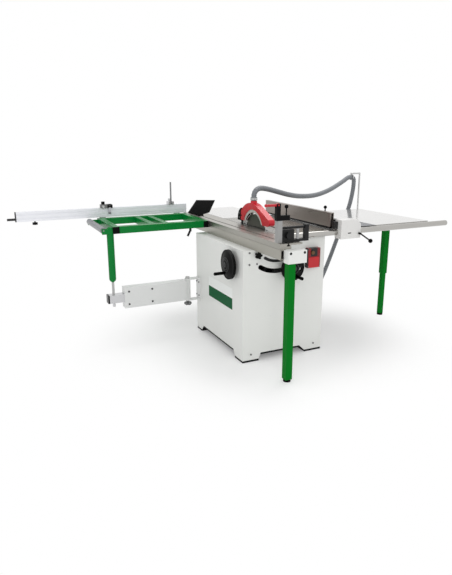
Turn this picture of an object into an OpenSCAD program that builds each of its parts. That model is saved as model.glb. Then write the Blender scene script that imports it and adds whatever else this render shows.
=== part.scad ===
// Sliding table saw with outrigger, crosscut fence, rip fence and dust hose.
// Origin on the floor under the middle of the cabinet, +X to the rip side, +Y to the rear.

/* [Cabinet] */
// Width of the cabinet
cabinet_w = 630; // [600:5:700]
// Depth of the cabinet
cabinet_d = 800; // [780:5:860]
// Sheet thickness of the cabinet
sheet_t = 3; // [2:0.5:5]
// Height of the working surface above the floor
table_h = 870; // [840:5:900]
// Height of the cut-outs between the cabinet feet
foot_cut_h = 41; // [30:1:60]
// Radius of the anchor holes in the cabinet feet
anchor_r = 7; // [5:0.5:9]

/* [Tables] */
// Thickness of the cast table plate
plate_t = 12; // [10:1:16]
// Depth of the table ribs and rims
rim_h = 42; // [38:1:48]
// Distance from the cabinet middle to the front edge of the tables
table_front = 385; // [370:1:395]
// Length of the right extension table
right_len = 955; // [800:5:1100]
// Depth of the right extension table
right_d = 815; // [700:5:900]
// Length of the rear extension table
rear_len = 650; // [400:5:800]
// Sheet thickness of the extension tables
leaf_t = 4; // [3:0.5:6]

/* [Blade] */
// Distance of the blade plane left of the cabinet middle
blade_offset = 60; // [55:1:62]
// Diameter of the saw blade
blade_d = 315; // [300:1:316]
// Thickness of the saw blade
blade_t = 3.2; // [2.4:0.1:3.6]
// Number of teeth
tooth_n = 48; // [24:4:72]
// Distance of the arbor in front of the cabinet middle
arbor_front = 90; // [80:1:100]
// Depth of the arbor below the table with the blade fully up
arbor_drop = 65; // [64:1:70]
// Travel of the blade up and down
lift_travel = 95; // [80:1:95]
// Radius of the arbor journal
arbor_r = 15; // [12:0.5:16]
// Running clearance of shafts and columns on the radius
run_gap = 0.05; // [0.02:0.01:0.09]
// Clearance between moving and fixed faces
move_gap = 0.4; // [0.3:0.1:0.6]

/* [Drives] */
// Radius of the path of the height handwheel about the tilt axis
wheel_path_r = 250; // [246:1:254]
// Rest angle of the height handwheel about the tilt axis
wheel_rest_a = 21.5; // [20:0.5:23]
// Diameter of the height handwheel
height_wheel_d = 170; // [150:5:170]
// Diameter of the tilt handwheel
tilt_wheel_d = 200; // [170:5:220]
// Depth of the tilt screw below the table top
tilt_screw_drop = 210; // [206:1:211]
// Distance of the tilt screw in front of the cabinet middle
tilt_screw_front = 250; // [250:1:256]

/* [Carriage] */
// Length of the sliding carriage
carriage_len = 1600; // [1400:10:1800]
// Width of the sliding carriage
carriage_w = 152; // [148:1:160]
// Distance of the near end of the carriage from the cabinet middle
carriage_front = 733; // [700:1:760]
// Thickness of the carriage block
carriage_t = 34; // [30:1:40]
// Height of the fixed carriage profile
base_h = 61; // [55:1:66]
// Width of the fixed carriage profile
base_w = 38; // [34:1:42]
// Side of the leg tubes
leg_w = 46; // [40:1:52]

/* [Outrigger and crosscut fence] */
// Side of the outrigger tubes
out_tube = 50; // [40:1:52]
// Length of the outrigger frame along the fence
out_len = 735; // [650:5:760]
// Depth of the outrigger frame
out_d = 505; // [480:5:520]
// Distance of the outrigger frame behind the cabinet middle
out_back = 335; // [325:1:345]
// Radius of the loading roller
roller_r = 23; // [18:0.5:26]
// Radius of the outrigger post
post_r = 25; // [20:0.5:28]
// Length of the crosscut fence
cross_len = 1345; // [1200:5:1400]
// Height of the crosscut fence
cross_h = 72; // [66:1:85]
// Depth of the crosscut fence
cross_d = 38; // [36:1:46]

/* [Swing arm] */
// Length of the swing arm box from its hinge
arm_len = 505; // [480:5:520]
// Height of the swing arm box
arm_h = 155; // [150:1:165]
// Depth of the swing arm box
arm_d = 72; // [70:1:80]
// Side of the inner telescopic tube
inner_w = 60; // [50:1:62]
// Height of the arm centre above the floor
arm_z = 342; // [320:1:360]

/* [Rip fence] */
// Diameter of the guide rail
rail_d = 40; // [36:1:44]
// Length of the guide rail
rail_len = 1412; // [1300:5:1500]
// Distance of the guide rail in front of the cabinet middle
rail_front = 425; // [422:1:430]
// Distance of the rip fence face from the cabinet middle
rip_x = 360; // [330:5:420]
// Height of the rip fence
rip_h = 108; // [80:1:120]
// Length of the rip fence
rip_len = 905; // [700:5:950]
// Thickness of the rip fence
rip_t = 28; // [22:1:32]

/* [Guard and hose] */
// Width of the guard hood
guard_w = 46; // [44:1:50]
// Height of the guard hood edge above the table
guard_rise = 30; // [28:1:36]
// Radius of the hose outside
hose_r = 19; // [17:0.5:21]
// Number of ribs on the hose
rib_n = 190; // [80:1:200]

/* [Hidden] */
$fn = 64;

// Colours
white_paint = [0.84, 0.84, 0.83];
green_paint = [0.03, 0.48, 0.15];
red_paint = [0.78, 0.12, 0.2];
black_part = [0.08, 0.08, 0.09];
cast_iron = [0.6, 0.58, 0.54];
bare_metal = [0.72, 0.73, 0.75];
pale_metal = [0.84, 0.85, 0.87];
hose_grey = [0.45, 0.46, 0.48];

// One overrun serves every cut
over = 2;

// Main places worked out from the driving sizes
half_w = cabinet_w / 2;
half_d = cabinet_d / 2;
blade_x = -blade_offset;
arbor_y = -arbor_front;
arbor_z = table_h - arbor_drop;
blade_r = blade_d / 2;
table_gap = 24;
table_left = blade_x - table_gap;
carriage_gap = 4;
carriage_right = table_left - carriage_gap;
carriage_left = carriage_right - carriage_w;
carriage_y = [-carriage_front, carriage_len - carriage_front];
carriage_z = table_h - carriage_t;
tilt_screw_z = table_h - tilt_screw_drop;
base_side_gap = 2;
base_x = [carriage_left + base_side_gap, carriage_left + base_side_gap + base_w];
base_top = carriage_z - base_side_gap;
base_z = [base_top - base_h, base_top];
shell_top = table_h - rim_h;

// Solids between two limits on each axis
module block(x, y, z) {
    translate([x[0], y[0], z[0]]) cube([x[1] - x[0], y[1] - y[0], z[1] - z[0]]);
}
module rod_x(x, y, z, r) {
    translate([x[0], y, z]) rotate([0, 90, 0]) cylinder(r = r, h = x[1] - x[0]);
}
module rod_y(x, y, z, r) {
    translate([x, y[0], z]) rotate([-90, 0, 0]) cylinder(r = r, h = y[1] - y[0]);
}
module rod_z(x, y, z, r) {
    translate([x, y, z[0]]) cylinder(r = r, h = z[1] - z[0]);
}
// Outline in Y and Z, thickened along X
module side_plate(x) {
    translate([x[0], 0, 0]) rotate([90, 0, 90]) linear_extrude(x[1] - x[0]) children();
}
// Outline in X and Z, thickened along Y
module face_plate(y) {
    translate([0, y[1], 0]) rotate([90, 0, 0]) linear_extrude(y[1] - y[0]) children();
}
function span(middle, width) = [middle - width / 2, middle + width / 2];
function above(low, height) = [low, low + height];
function below(high, height) = [high - height, high];

// Places about the tilt axis, angles from straight down towards +X
function arc_x(r, a) = blade_x + r * sin(a);
function arc_z(r, a) = table_h - r * cos(a);
module arc_bar(r, a, y) {
    translate([blade_x, y[1], table_h]) rotate([0, 90, 0]) rotate([90, 0, 0]) rotate([0, 0, a[0]])
        rotate_extrude(angle = a[1] - a[0], $fn = 128)
            translate([r[0], 0]) square([r[1] - r[0], y[1] - y[0]]);
}

// Flat sector of a ring about the tilt axis, in X and Z
wedge_r = 400;
module arc_sector(r, a) {
    middle = (a[0] + a[1]) / 2;
    translate([blade_x, table_h]) intersection() {
        difference() {
            circle(r = r[1], $fn = 128);
            circle(r = r[0], $fn = 128);
        }
        polygon(concat([[0, 0]], [for (t = [a[0], middle, a[1]]) wedge_r * [sin(t), -cos(t)]]));
    }
}

// Cabinet

wheel_slot_w = 32;
guide_slot_r = 182;
guide_slot_w = 20;
slot_left_a = -31;
slot_right_a = wheel_rest_a + 3;
notch_gap = 3;
cut_front_x = [-176, 134];
front_slant = [14, 46];
cut_side_y = [-258, 276];
side_slant = [24, 34];
function foot_cut(a, slant) = [[a[0] - slant[0], pad_t - over], [a[0], pan_top], [a[1], pan_top],
    [a[1] + slant[1], pad_t - over]];
boss_r = 20;
boss_len = 22;
tilt_shaft_r = 8;
module arc_slot(r, w, y) {
    arc_bar(span(r, w), [slot_left_a, slot_right_a], y);
    for (a = [slot_left_a, slot_right_a]) rod_y(arc_x(r, a), y, arc_z(r, a), w / 2);
}
shelf_under = 25;
module cabinet_shell() {
    front_cut = [-half_d - over, -half_d + sheet_t + over];
    color(white_paint) difference() {
        union() {
            difference() {
                block([-half_w, half_w], [-half_d, half_d], [pad_t, shell_top]);
                block([-half_w + sheet_t, half_w - sheet_t], [-half_d + sheet_t, half_d - sheet_t],
                    [pad_t - over, shell_top + over]);
            }
            block([-half_w, base_x[0] + shelf_under], [-half_d, half_d], below(base_z[0], sheet_t));
            rod_x(above(-half_w, boss_len), -tilt_screw_front, tilt_screw_z, boss_r);
        }
        block([-half_w - over, table_left - notch_gap], [-half_d - over, half_d + over],
            [base_z[0], shell_top + over]);
        face_plate([-half_d - over, half_d + over]) polygon(foot_cut(cut_front_x, front_slant));
        side_plate([-half_w - over, half_w + over]) polygon(foot_cut(cut_side_y, side_slant));
        arc_slot(wheel_path_r, wheel_slot_w, front_cut);
        arc_slot(guide_slot_r, guide_slot_w, front_cut);
        rod_x([-half_w - over, -half_w + boss_len + over], -tilt_screw_front, tilt_screw_z,
            tilt_shaft_r + run_gap);
        rod_y(port_x, [half_d - sheet_t - over, half_d + over], port_z, port_r - port_wall);
        rod_y(star_x, front_cut, star_z, star_shank_r + run_gap);
    }
}

pan_t = 14;
pan_top = foot_cut_h + pan_t;
pad_t = 14;
post_w = 30;
anchor_inset_x = 60;
anchor_inset_y = 50;
anchor_x = half_w - anchor_inset_x;
anchor_y = half_d - anchor_inset_y;
foot_x = [[-half_w, cut_front_x[0] - front_slant[0]], [cut_front_x[1] + front_slant[1], half_w]];
foot_y = [[-half_d, cut_side_y[0] - side_slant[0]], [cut_side_y[1] + side_slant[1], half_d]];
module cabinet_base() {
    color(black_part) {
        block([-half_w + sheet_t, half_w - sheet_t], [-half_d + sheet_t, half_d - sheet_t],
            above(foot_cut_h, pan_t));
        for (x = foot_x, y = foot_y) difference() {
            block(x, y, [0, pad_t]);
            for (mx = [-anchor_x, anchor_x], my = [-anchor_y, anchor_y])
                rod_z(mx, my, [-over, pad_t + over], anchor_r);
        }
        for (mx = [0, 1], my = [0, 1]) mirror([mx, 0, 0]) mirror([0, my, 0])
            block(below(half_w - sheet_t, post_w), below(half_d - sheet_t, post_w), [0, pan_top]);
    }
}

// Tables

insert_front = 285;
insert_back = 155;
insert_t = 4;
insert_ledge = 9;
insert_right = 44;
insert_gap = 0.3;
mitre_from_blade = 105;
mitre_w = 19;
mitre_depth = 8;
rib_w = 12;
insert_y = [-insert_front, insert_back];
insert_x = [table_left, blade_x + insert_right];
module saw_table() {
    y = [-table_front, half_d];
    color(cast_iron) difference() {
        union() {
            block([table_left, half_w], y, [table_h - plate_t, table_h]);
            block(below(half_w, rib_w), y, [shell_top, table_h]);
            block([table_left, half_w], above(y[0], rib_w), [shell_top, table_h]);
            block([table_left, half_w], below(y[1], rib_w), [shell_top, table_h]);
        }
        block([table_left - over, insert_x[1]], insert_y, [table_h - insert_t, table_h + over]);
        block([table_left - over, insert_x[1] - insert_ledge],
            [insert_y[0] + insert_ledge, insert_y[1] - insert_ledge],
            [table_h - plate_t - over, table_h + over]);
        block(span(blade_x + mitre_from_blade, mitre_w), [y[0] - over, y[1] + over],
            [table_h - mitre_depth, table_h + over]);
    }
}

slot_left = 10;
slot_right = 6;
slot_front = 262;
slot_back = 144;
module table_insert() {
    color(bare_metal) difference() {
        block([insert_x[0], insert_x[1] - insert_gap],
            [insert_y[0] + insert_gap, insert_y[1] - insert_gap], [table_h - insert_t, table_h]);
        block([blade_x - slot_left, blade_x + slot_right], [-slot_front, slot_back],
            [table_h - insert_t - over, table_h + over]);
    }
}

module leaf(x, y) {
    difference() {
        block(x, y, below(table_h, rim_h));
        block([x[0] + leaf_t, x[1] - leaf_t], [y[0] + leaf_t, y[1] - leaf_t],
            [table_h - rim_h - over, table_h - leaf_t]);
    }
}
right_x = above(half_w, right_len);
right_y = above(-table_front, right_d);
module right_extension() {
    color(cast_iron) leaf(right_x, right_y);
}
module rear_extension() {
    color(cast_iron) leaf([table_left, half_w], above(half_d, rear_len));
}

// Guide rail in front of the tables, with welded lugs

rail_drop = 20;
rail_left = 0;
rail_r = rail_d / 2;
rail_z = table_h - rail_drop;
lug_w = 30;
lug_h = 16;
lug_shares = [0.12, 0.5, 0.86];
module front_rail() {
    color(bare_metal) {
        rod_x(above(rail_left, rail_len), -rail_front, rail_z, rail_r);
        for (share = lug_shares)
            block(span(rail_left + rail_len * share, lug_w), [-rail_front, -table_front], span(rail_z,
                lug_h));
    }
}

// Fixed carriage profile with its guide ridge

profile_wall = 5;
ridge_w = 12;
ridge_h = 14;
ridge_x = span(base_x[0] + base_w / 2, ridge_w);
module carriage_base() {
    color(bare_metal) {
        difference() {
            block(base_x, carriage_y, base_z);
            block([base_x[0] + profile_wall, base_x[1] - profile_wall],
                [carriage_y[0] - over, carriage_y[1] + over],
                [base_z[0] + profile_wall, base_z[1] - profile_wall]);
        }
        block(ridge_x, carriage_y, above(base_top, ridge_h));
    }
}

end_plate_t = 6;
end_plate_drop = 16;
end_plate_h = base_h + end_plate_drop;
end_plate_x = [carriage_left, carriage_right];
cap_d = 54;
cap_inset = 24;
cap_x = [carriage_left + cap_inset, carriage_right];
module base_end_plate() {
    z = below(base_top, end_plate_h);
    color(white_paint) {
        block(end_plate_x, above(carriage_y[1], end_plate_t), z);
        difference() {
            block(cap_x, below(carriage_y[0], cap_d), z);
            block([cap_x[0] + end_plate_t, cap_x[1] - end_plate_t],
                [carriage_y[0] - cap_d + end_plate_t, carriage_y[0] + over],
                [z[0] + end_plate_t, z[1] - end_plate_t]);
        }
    }
}

// Legs, each with its black foot as a second solid

leg_wall = 3;
foot_h = 16;
foot_r = 24;
front_leg_inset = 30;
front_leg_x = cap_x[0] + front_leg_inset;
front_leg_y = carriage_y[0] - cap_d / 2;
module square_tube(x, y, z, w) {
    difference() {
        block(span(x, w), span(y, w), z);
        block(span(x, w - 2 * leg_wall), span(y, w - 2 * leg_wall), [z[0] + leg_wall, z[1] - leg_wall]);
    }
}
module front_leg() {
    color(green_paint) square_tube(front_leg_x, front_leg_y, [foot_h, base_top - end_plate_h], leg_w);
    color(black_part) rod_z(front_leg_x, front_leg_y, [0, foot_h], foot_r);
}
inner_leg_w = 36;
right_leg_gap = 1;
right_leg_y = 33;
right_leg_split = 370;
right_leg_x = right_x[1] - leaf_t - right_leg_gap - leg_w / 2;
leg_flange_w = 90;
leg_flange_t = 6;
leg_overlap = 120;
module right_leg() {
    top = table_h - leaf_t;
    color(green_paint) {
        difference() {
            block(span(right_leg_x, leg_w), span(right_leg_y, leg_w), [right_leg_split,
                top - leg_flange_t]);
            block(span(right_leg_x, inner_leg_w), span(right_leg_y, inner_leg_w),
                [right_leg_split - over, top - leg_flange_t - leg_wall]);
        }
        block(span(right_leg_x, leg_w), span(right_leg_y, leg_flange_w), below(top, leg_flange_t));
    }
    color(green_paint) square_tube(right_leg_x, right_leg_y, [foot_h, right_leg_split + leg_overlap],
        inner_leg_w - 2 * move_gap);
    color(black_part) rod_z(right_leg_x, right_leg_y, [0, foot_h], foot_r);
}

// Switch on the front of the cabinet

switch_x = [158, 256];
switch_drop = [114, 248];
switch_z = [table_h - switch_drop[1], table_h - switch_drop[0]];
switch_d = 36;
switch_wall = 4;
switch_split_share = 0.56;
switch_y = [-half_d - switch_d, -half_d];
switch_split = switch_z[0] + (switch_z[1] - switch_z[0]) * switch_split_share;
button_r = 13;
button_travel = 5;
button_proud = 8;
button_stem_r = 6;
button_stem = 14;
button_x_share = 0.36;
button_x = switch_x[0] + (switch_x[1] - switch_x[0]) * button_x_share;
button_z = (switch_split + switch_z[1]) / 2;
button_seat = button_travel + button_proud;
flap_t = 14;
flap_plate_t = 4;
flap_cheek = 7;
flap_pin_r = 4;
flap_x = [switch_x[0] + flap_cheek + move_gap, switch_x[1] - flap_cheek - move_gap];
flap_pin_x = [switch_x[0] + flap_cheek / 2, switch_x[1] - flap_cheek / 2];
flap_pin_y = switch_y[0] + flap_t / 2;
flap_pin_z = switch_split - flap_t / 2 - move_gap;
module switch_box() {
    color(black_part) difference() {
        block(switch_x, switch_y, switch_z);
        block([switch_x[0] + flap_cheek, switch_x[1] - flap_cheek],
            [switch_y[0] - over, switch_y[0] + flap_t + move_gap], [switch_z[0] - over, switch_split]);
        rod_y(button_x, [switch_y[0] - over, switch_y[0] + button_seat + button_travel], button_z,
            button_r + move_gap);
        rod_y(button_x, [switch_y[0], switch_y[0] + button_seat + button_stem + button_travel], button_z,
            button_stem_r + run_gap);
        rod_x(flap_pin_x, flap_pin_y, flap_pin_z, flap_pin_r + run_gap);
    }
}
module start_button() {
    color(green_paint) {
        rod_y(button_x, span(switch_y[0], 2 * button_proud), button_z, button_r);
        rod_y(button_x, [switch_y[0], switch_y[0] + button_proud + button_stem], button_z, button_stem_r);
    }
}
module stop_flap() {
    color(red_paint) {
        block(flap_x, above(switch_y[0], flap_plate_t), [switch_z[0], flap_pin_z]);
        rod_x(flap_x, flap_pin_y, flap_pin_z, flap_t / 2);
        rod_x([flap_pin_x[0] + move_gap, flap_pin_x[1] - move_gap], flap_pin_y, flap_pin_z, flap_pin_r);
    }
}

// Trunnion brackets fixed under the table

shoe_r = [170, 195];
bracket_t = 20;
bracket_a = [-50, 48];
bracket_front = 330;
bracket_back = 230;
// Web outline right of the blade and below the table
bracket_web = [[-24, 12], [100, 12], [100, 150], [60, 178], [-24, 178]];
bracket_front_y = above(-bracket_front, bracket_t);
bracket_back_y = above(bracket_back, bracket_t);
module trunnion_brackets() {
    color(cast_iron) for (y = [bracket_front_y, bracket_back_y]) face_plate(y) {
        arc_sector(shoe_r, bracket_a);
        polygon([for (p = bracket_web) [blade_x + p[0], table_h - p[1]]]);
    }
}

// Dust port on the rear wall with a branch for the guard hose

port_x = 120;
port_z = 170;
port_r = 50;
port_wall = 3;
port_len = 120;
spigot_len = 40;
port_step = 4;
hose_wall = 3;
hose_sides = 8;
branch_r = (hose_r - hose_wall) * cos(180 / hose_sides) - insert_gap;
port_flange_r = 68;
port_flange_t = 5;
branch_len = 50;
branch_from_wall = 45;
branch_y = half_d + branch_from_wall;
branch_x = [port_x, port_x + port_r + branch_len];
module dust_port() {
    color(black_part) difference() {
        union() {
            rod_y(port_x, above(half_d, port_len), port_z, port_r);
            rod_y(port_x, above(half_d, port_len - spigot_len), port_z, port_r + port_step);
            rod_y(port_x, above(half_d, port_flange_t), port_z, port_flange_r);
            rod_x(branch_x, branch_y, port_z, branch_r);
        }
        rod_y(port_x, [half_d - over, half_d + port_len + over], port_z, port_r - port_wall);
        rod_x([branch_x[0], branch_x[1] + over], branch_y, port_z, branch_r - port_wall);
    }
}

// Hose support rod with a clip round the hose

rod_r = 7;
rod_inset = 10;
rod_low = 60;
rod_x_place = right_x[1] - rod_inset;
rod_y_place = right_y[1] + rod_r;
clip_turn = 25;
clip_w = 14;
clip_t = 4;
module hose_rod() {
    color(bare_metal) {
        rod_z(rod_x_place, rod_y_place, [table_h - rod_low, rod_top], rod_r);
        translate([rod_x_place, rod_y_place, rod_top]) sphere(r = rod_r);
        rod_x([clip_at[0], rod_x_place], rod_y_place, rod_top, rod_r);
        translate([clip_at[0], rod_y_place, rod_top]) sphere(r = rod_r);
        rod_y(clip_at[0], [rod_y_place, clip_at[1] + rod_r], rod_top, rod_r);
        difference() {
            union() {
                rod_z(clip_at[0], clip_at[1], [clip_at[2], rod_top], rod_r);
                translate(clip_at) rotate([0, 0, clip_turn])
                    rod_x(span(0, clip_w), 0, 0, hose_r + clip_gap + clip_t);
            }
            translate(clip_at) rotate([0, 0, clip_turn]) rod_x(span(0, 2 * clip_w), 0, 0,
                hose_r + clip_gap);
        }
    }
}
clip_gap = 1;

// Swing arm bracket on the left wall, with its hinge pin as a second solid

arm_back = 360;
arm_hinge_out = 95;
arm_hinge_x = -half_w - arm_hinge_out;
bracket_plate_t = 8;
bracket_plate_w = 70;
ear_t = 10;
ear_w = 44;
pin_r = 9;
pin_over = 14;
arm_half = arm_h / 2;
ear_low = [arm_z - arm_half - ear_t - move_gap, arm_z - arm_half - move_gap];
ear_high = [arm_z + arm_half + move_gap, arm_z + arm_half + ear_t + move_gap];
module arm_bracket() {
    color(white_paint) difference() {
        union() {
            block(below(-half_w, bracket_plate_t), span(arm_back, bracket_plate_w), [ear_low[0],
                ear_high[1]]);
            for (z = [ear_low, ear_high]) {
                block([arm_hinge_x, -half_w], span(arm_back, ear_w), z);
                rod_z(arm_hinge_x, arm_back, z, ear_w / 2);
            }
        }
        rod_z(arm_hinge_x, arm_back, [ear_low[0] - over, ear_high[1] + over], pin_r + run_gap);
    }
    color(bare_metal) {
        rod_z(arm_hinge_x, arm_back, [ear_low[0] - pin_over, ear_high[1]], pin_r);
        rod_z(arm_hinge_x, arm_back, above(ear_high[1], pin_over), pin_r + pin_over / 2);
    }
}

// Bolt heads on the cabinet faces

bolt_r = 6;
bolt_h = 5;
// Panel bolts as X and depth below the table, foot bolts as X and height
panel_bolts = [[-270, 112], [-270, 190], [-214, 190]];
foot_bolts = [[-252, 54], [251, 54]];
module machine_bolts() {
    color(bare_metal) {
        for (p = panel_bolts) rod_y(p[0], below(-half_d, bolt_h), table_h - p[1], bolt_r);
        for (p = foot_bolts) rod_y(p[0], below(-half_d, bolt_h), p[1], bolt_r);
        for (z = [ear_low[0] + bracket_plate_w / 2, ear_high[1] - bracket_plate_w / 2])
            for (y = [arm_back - bracket_plate_w / 2 + 2 * bolt_r,
                arm_back + bracket_plate_w / 2 - 2 * bolt_r])
                rod_x(below(-half_w - bracket_plate_t, bolt_h), y, z, bolt_r);
    }
}

// Dust hose: one tube swept along a route chosen by hand

rib_depth = 2.2;
// Route points for a table at route_h
route_h = 870;
route_points = [
    [-60, -60, 1056], [-60, -60, 1074], [-59, -60, 1092], [-47, -55, 1115], [-18, -42, 1130],
    [22, -26, 1132], [100, 6, 1118], [213, 52, 1090], [330, 101, 1062],
    [453, 151, 1042], [608, 215, 1033], [743, 270, 1042], [883, 328, 1069], [1045, 395, 1118],
    [1125, 428, 1147], [1178, 448, 1150], [1212, 460, 1136],
    [1222, 465, 1105], [1222, 470, 1040], [1214, 480, 950], [1204, 500, 860], [1182, 525, 760],
    [1162, 550, 665], [1140, 560, 580], [1070, 560, 405], [1000, 560, 250], [930, 560, 140], [840, 560, 70],
    [720, 560, 36], [560, 545, 32], [440, 503, 70], [370, 466, 130], [320, 449, 163], [270, 445, 170],
    [220, 445, 170], [178, 445, 170]
];
route_steps = 6;
bore_share = 0.3;
function route_z(z) = z <= port_z ? z
    : z <= route_h ? port_z + (z - port_z) * (table_h - port_z) / (route_h - port_z) : z + table_h - route_h;
hose_route = [for (p = route_points) [p[0], p[1], route_z(p[2])]];
// The support rod's clip holds the hose at this route point
clip_point = 15;
clip_rise = 32;
clip_at = hose_route[clip_point];
rod_top = clip_at[2] + clip_rise;
function mid_point(a, b, c, d, t) = b + (c - a) * t / 2 + (2 * a - 5 * b + 4 * c - d) * t * t / 2
    + (3 * b - a - 3 * c + d) * t * t * t / 2;
route_last = len(hose_route) - 1;
fine_route = concat([for (i = [0 : route_last - 1], k = [0 : route_steps - 1])
    mid_point(hose_route[max(i - 1, 0)], hose_route[i], hose_route[i + 1],
        hose_route[min(i + 2, route_last)], k / route_steps)], [hose_route[route_last]]);
function run_sums(list, i = 0, sum = 0) = i == len(list) - 1 ? [sum]
    : concat([sum], run_sums(list, i + 1, sum + norm(list[i + 1] - list[i])));
route_runs = run_sums(fine_route);
hose_len = route_runs[len(route_runs) - 1];
function route_table(axis) = [for (i = [0 : len(fine_route) - 1]) [route_runs[i], fine_route[i][axis]]];
route_tables = [for (axis = [0 : 2]) route_table(axis)];
function route_at(s) = [for (table = route_tables) lookup(s, table)];
function route_dir(s) = let (d = route_at(min(s + hose_r, hose_len)) - route_at(max(s - hose_r, 0)))
    d / norm(d);
function hose_ring(s, r) = let (p = route_at(s), t = route_dir(s), u = cross([0, 1, 0], t), n = u / norm(u),
    b = cross(t, n)) [for (k = [0 : hose_sides - 1]) let (a = 360 * k / hose_sides) p + r * (n * cos(a)
        + b * sin(a))];
function ring_sides(first, second, flip) = [for (k = [0 : hose_sides - 1]) let (m = (k + 1) % hose_sides)
    each flip ? [[first + k, second + k, first + m], [first + m, second + k, second + m]]
        : [[first + k, first + m, second + k], [first + m, second + m, second + k]]];
module dust_hose() {
    outer_n = 2 * rib_n;
    bore_n = floor(outer_n * bore_share);
    end_n = ceil(2 * hose_r * outer_n / hose_len);
    outer = [for (i = [0 : outer_n]) let (plain = i < end_n || i > outer_n - end_n || i % 2 == 0)
        each hose_ring(hose_len * i / outer_n, plain ? hose_r : hose_r - rib_depth)];
    bore = [for (i = [0 : bore_n]) each hose_ring(hose_len * i / bore_n, hose_r - hose_wall)];
    bore_start = len(outer);
    outer_end = outer_n * hose_sides;
    bore_end = bore_start + bore_n * hose_sides;
    faces = concat(
        [for (i = [0 : outer_n - 1]) each ring_sides(i * hose_sides, (i + 1) * hose_sides, true)],
        [for (i = [0 : bore_n - 1]) each ring_sides(bore_start + i * hose_sides,
            bore_start + (i + 1) * hose_sides, false)],
        ring_sides(0, bore_start, false), ring_sides(outer_end, bore_end, true));
    color(hose_grey) polyhedron(points = concat(outer, bore), faces = faces, convexity = 10);
}

// Tilting frame with arc shoes, columns and bearings

cradle_t = 18;
lip_step = 4;
cradle_r = [shoe_r[1] + move_gap, shoe_r[1] + cradle_t];
plate_r = [shoe_r[0], cradle_r[1] + lip_step];
cradle_a = [-8, 45];
lip_turn = 1;
lip_a = [cradle_a[0] + lip_turn, cradle_a[1] - lip_turn];
frame_t = 20;
frame_front_y = above(-bracket_front + bracket_t + move_gap, frame_t);
frame_back_y = below(bracket_back - move_gap, frame_t);
frame_x = [25, 120];
beam_s = [320, 346];
frame_web_r = 185;
column_r = 12;
column_d = 45;
column_top = 46;
column_front = 150;
column_back = 80;
column_x = blade_x + column_d;
shaft_boss_r = 18;
shaft_r = 7;
wheel_x = arc_x(wheel_path_r, wheel_rest_a);
wheel_z = arc_z(wheel_path_r, wheel_rest_a);
nut_pin_r = 5;
nut_path_r = 180;
nut_rest_a = 22.5;
nut_t_y = 20;
nut_y = span(-tilt_screw_front, nut_t_y);
screw_r = 8;
screw_front = 35;
screw_seat_t = 14;
screw_x = wheel_x;
// Notch in the beam that the motor pulley drops into
beam_notch = 108;
beam_notch_gap = 6;
module trunnion_frame() {
    color(cast_iron) {
        difference() {
            union() {
                for (y = [frame_front_y, frame_back_y]) face_plate(y) arc_sector(plate_r, cradle_a);
                face_plate([bracket_front_y[0], frame_front_y[1] - lip_step]) arc_sector(cradle_r, lip_a);
                face_plate([frame_back_y[0] + lip_step, bracket_back_y[1]]) arc_sector(cradle_r, lip_a);
                for (y = [frame_front_y, frame_back_y])
                    block([blade_x + frame_x[0], blade_x + frame_x[1]], y,
                        [table_h - beam_s[1], table_h - frame_web_r]);
                rod_y(wheel_x, frame_front_y, wheel_z, shaft_boss_r);
            }
            rod_y(wheel_x, [frame_front_y[0] - over, frame_front_y[1] + over], wheel_z, shaft_r + run_gap);
        }
        difference() {
            block([blade_x + frame_x[0], blade_x + frame_x[1]], [frame_front_y[0], frame_back_y[1]],
                [table_h - beam_s[1], table_h - beam_s[0]]);
            block([blade_x + belt_x[0] - beam_notch_gap, blade_x + frame_x[1] + over],
                span(motor_y, beam_notch), [table_h - beam_s[1] - over, table_h - beam_s[0] + over]);
        }
        for (y = [-column_front, column_back])
            rod_z(column_x, y, [table_h - beam_s[1], table_h - column_top], column_r);
        difference() {
            block(span(screw_x, 2 * shaft_boss_r), span(-screw_front, 2 * shaft_boss_r),
                [table_h - beam_s[1], table_h - beam_s[0] + screw_seat_t]);
            rod_z(screw_x, -screw_front, [table_h - beam_s[0], table_h - beam_s[0] + screw_seat_t + over],
                screw_r + run_gap);
        }
        rod_y(arc_x(nut_path_r, nut_rest_a), [frame_front_y[0], nut_y[1]], arc_z(nut_path_r, nut_rest_a),
            nut_pin_r);
    }
}

// Lift carriage with the arbor housing and the motor plate

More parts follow.
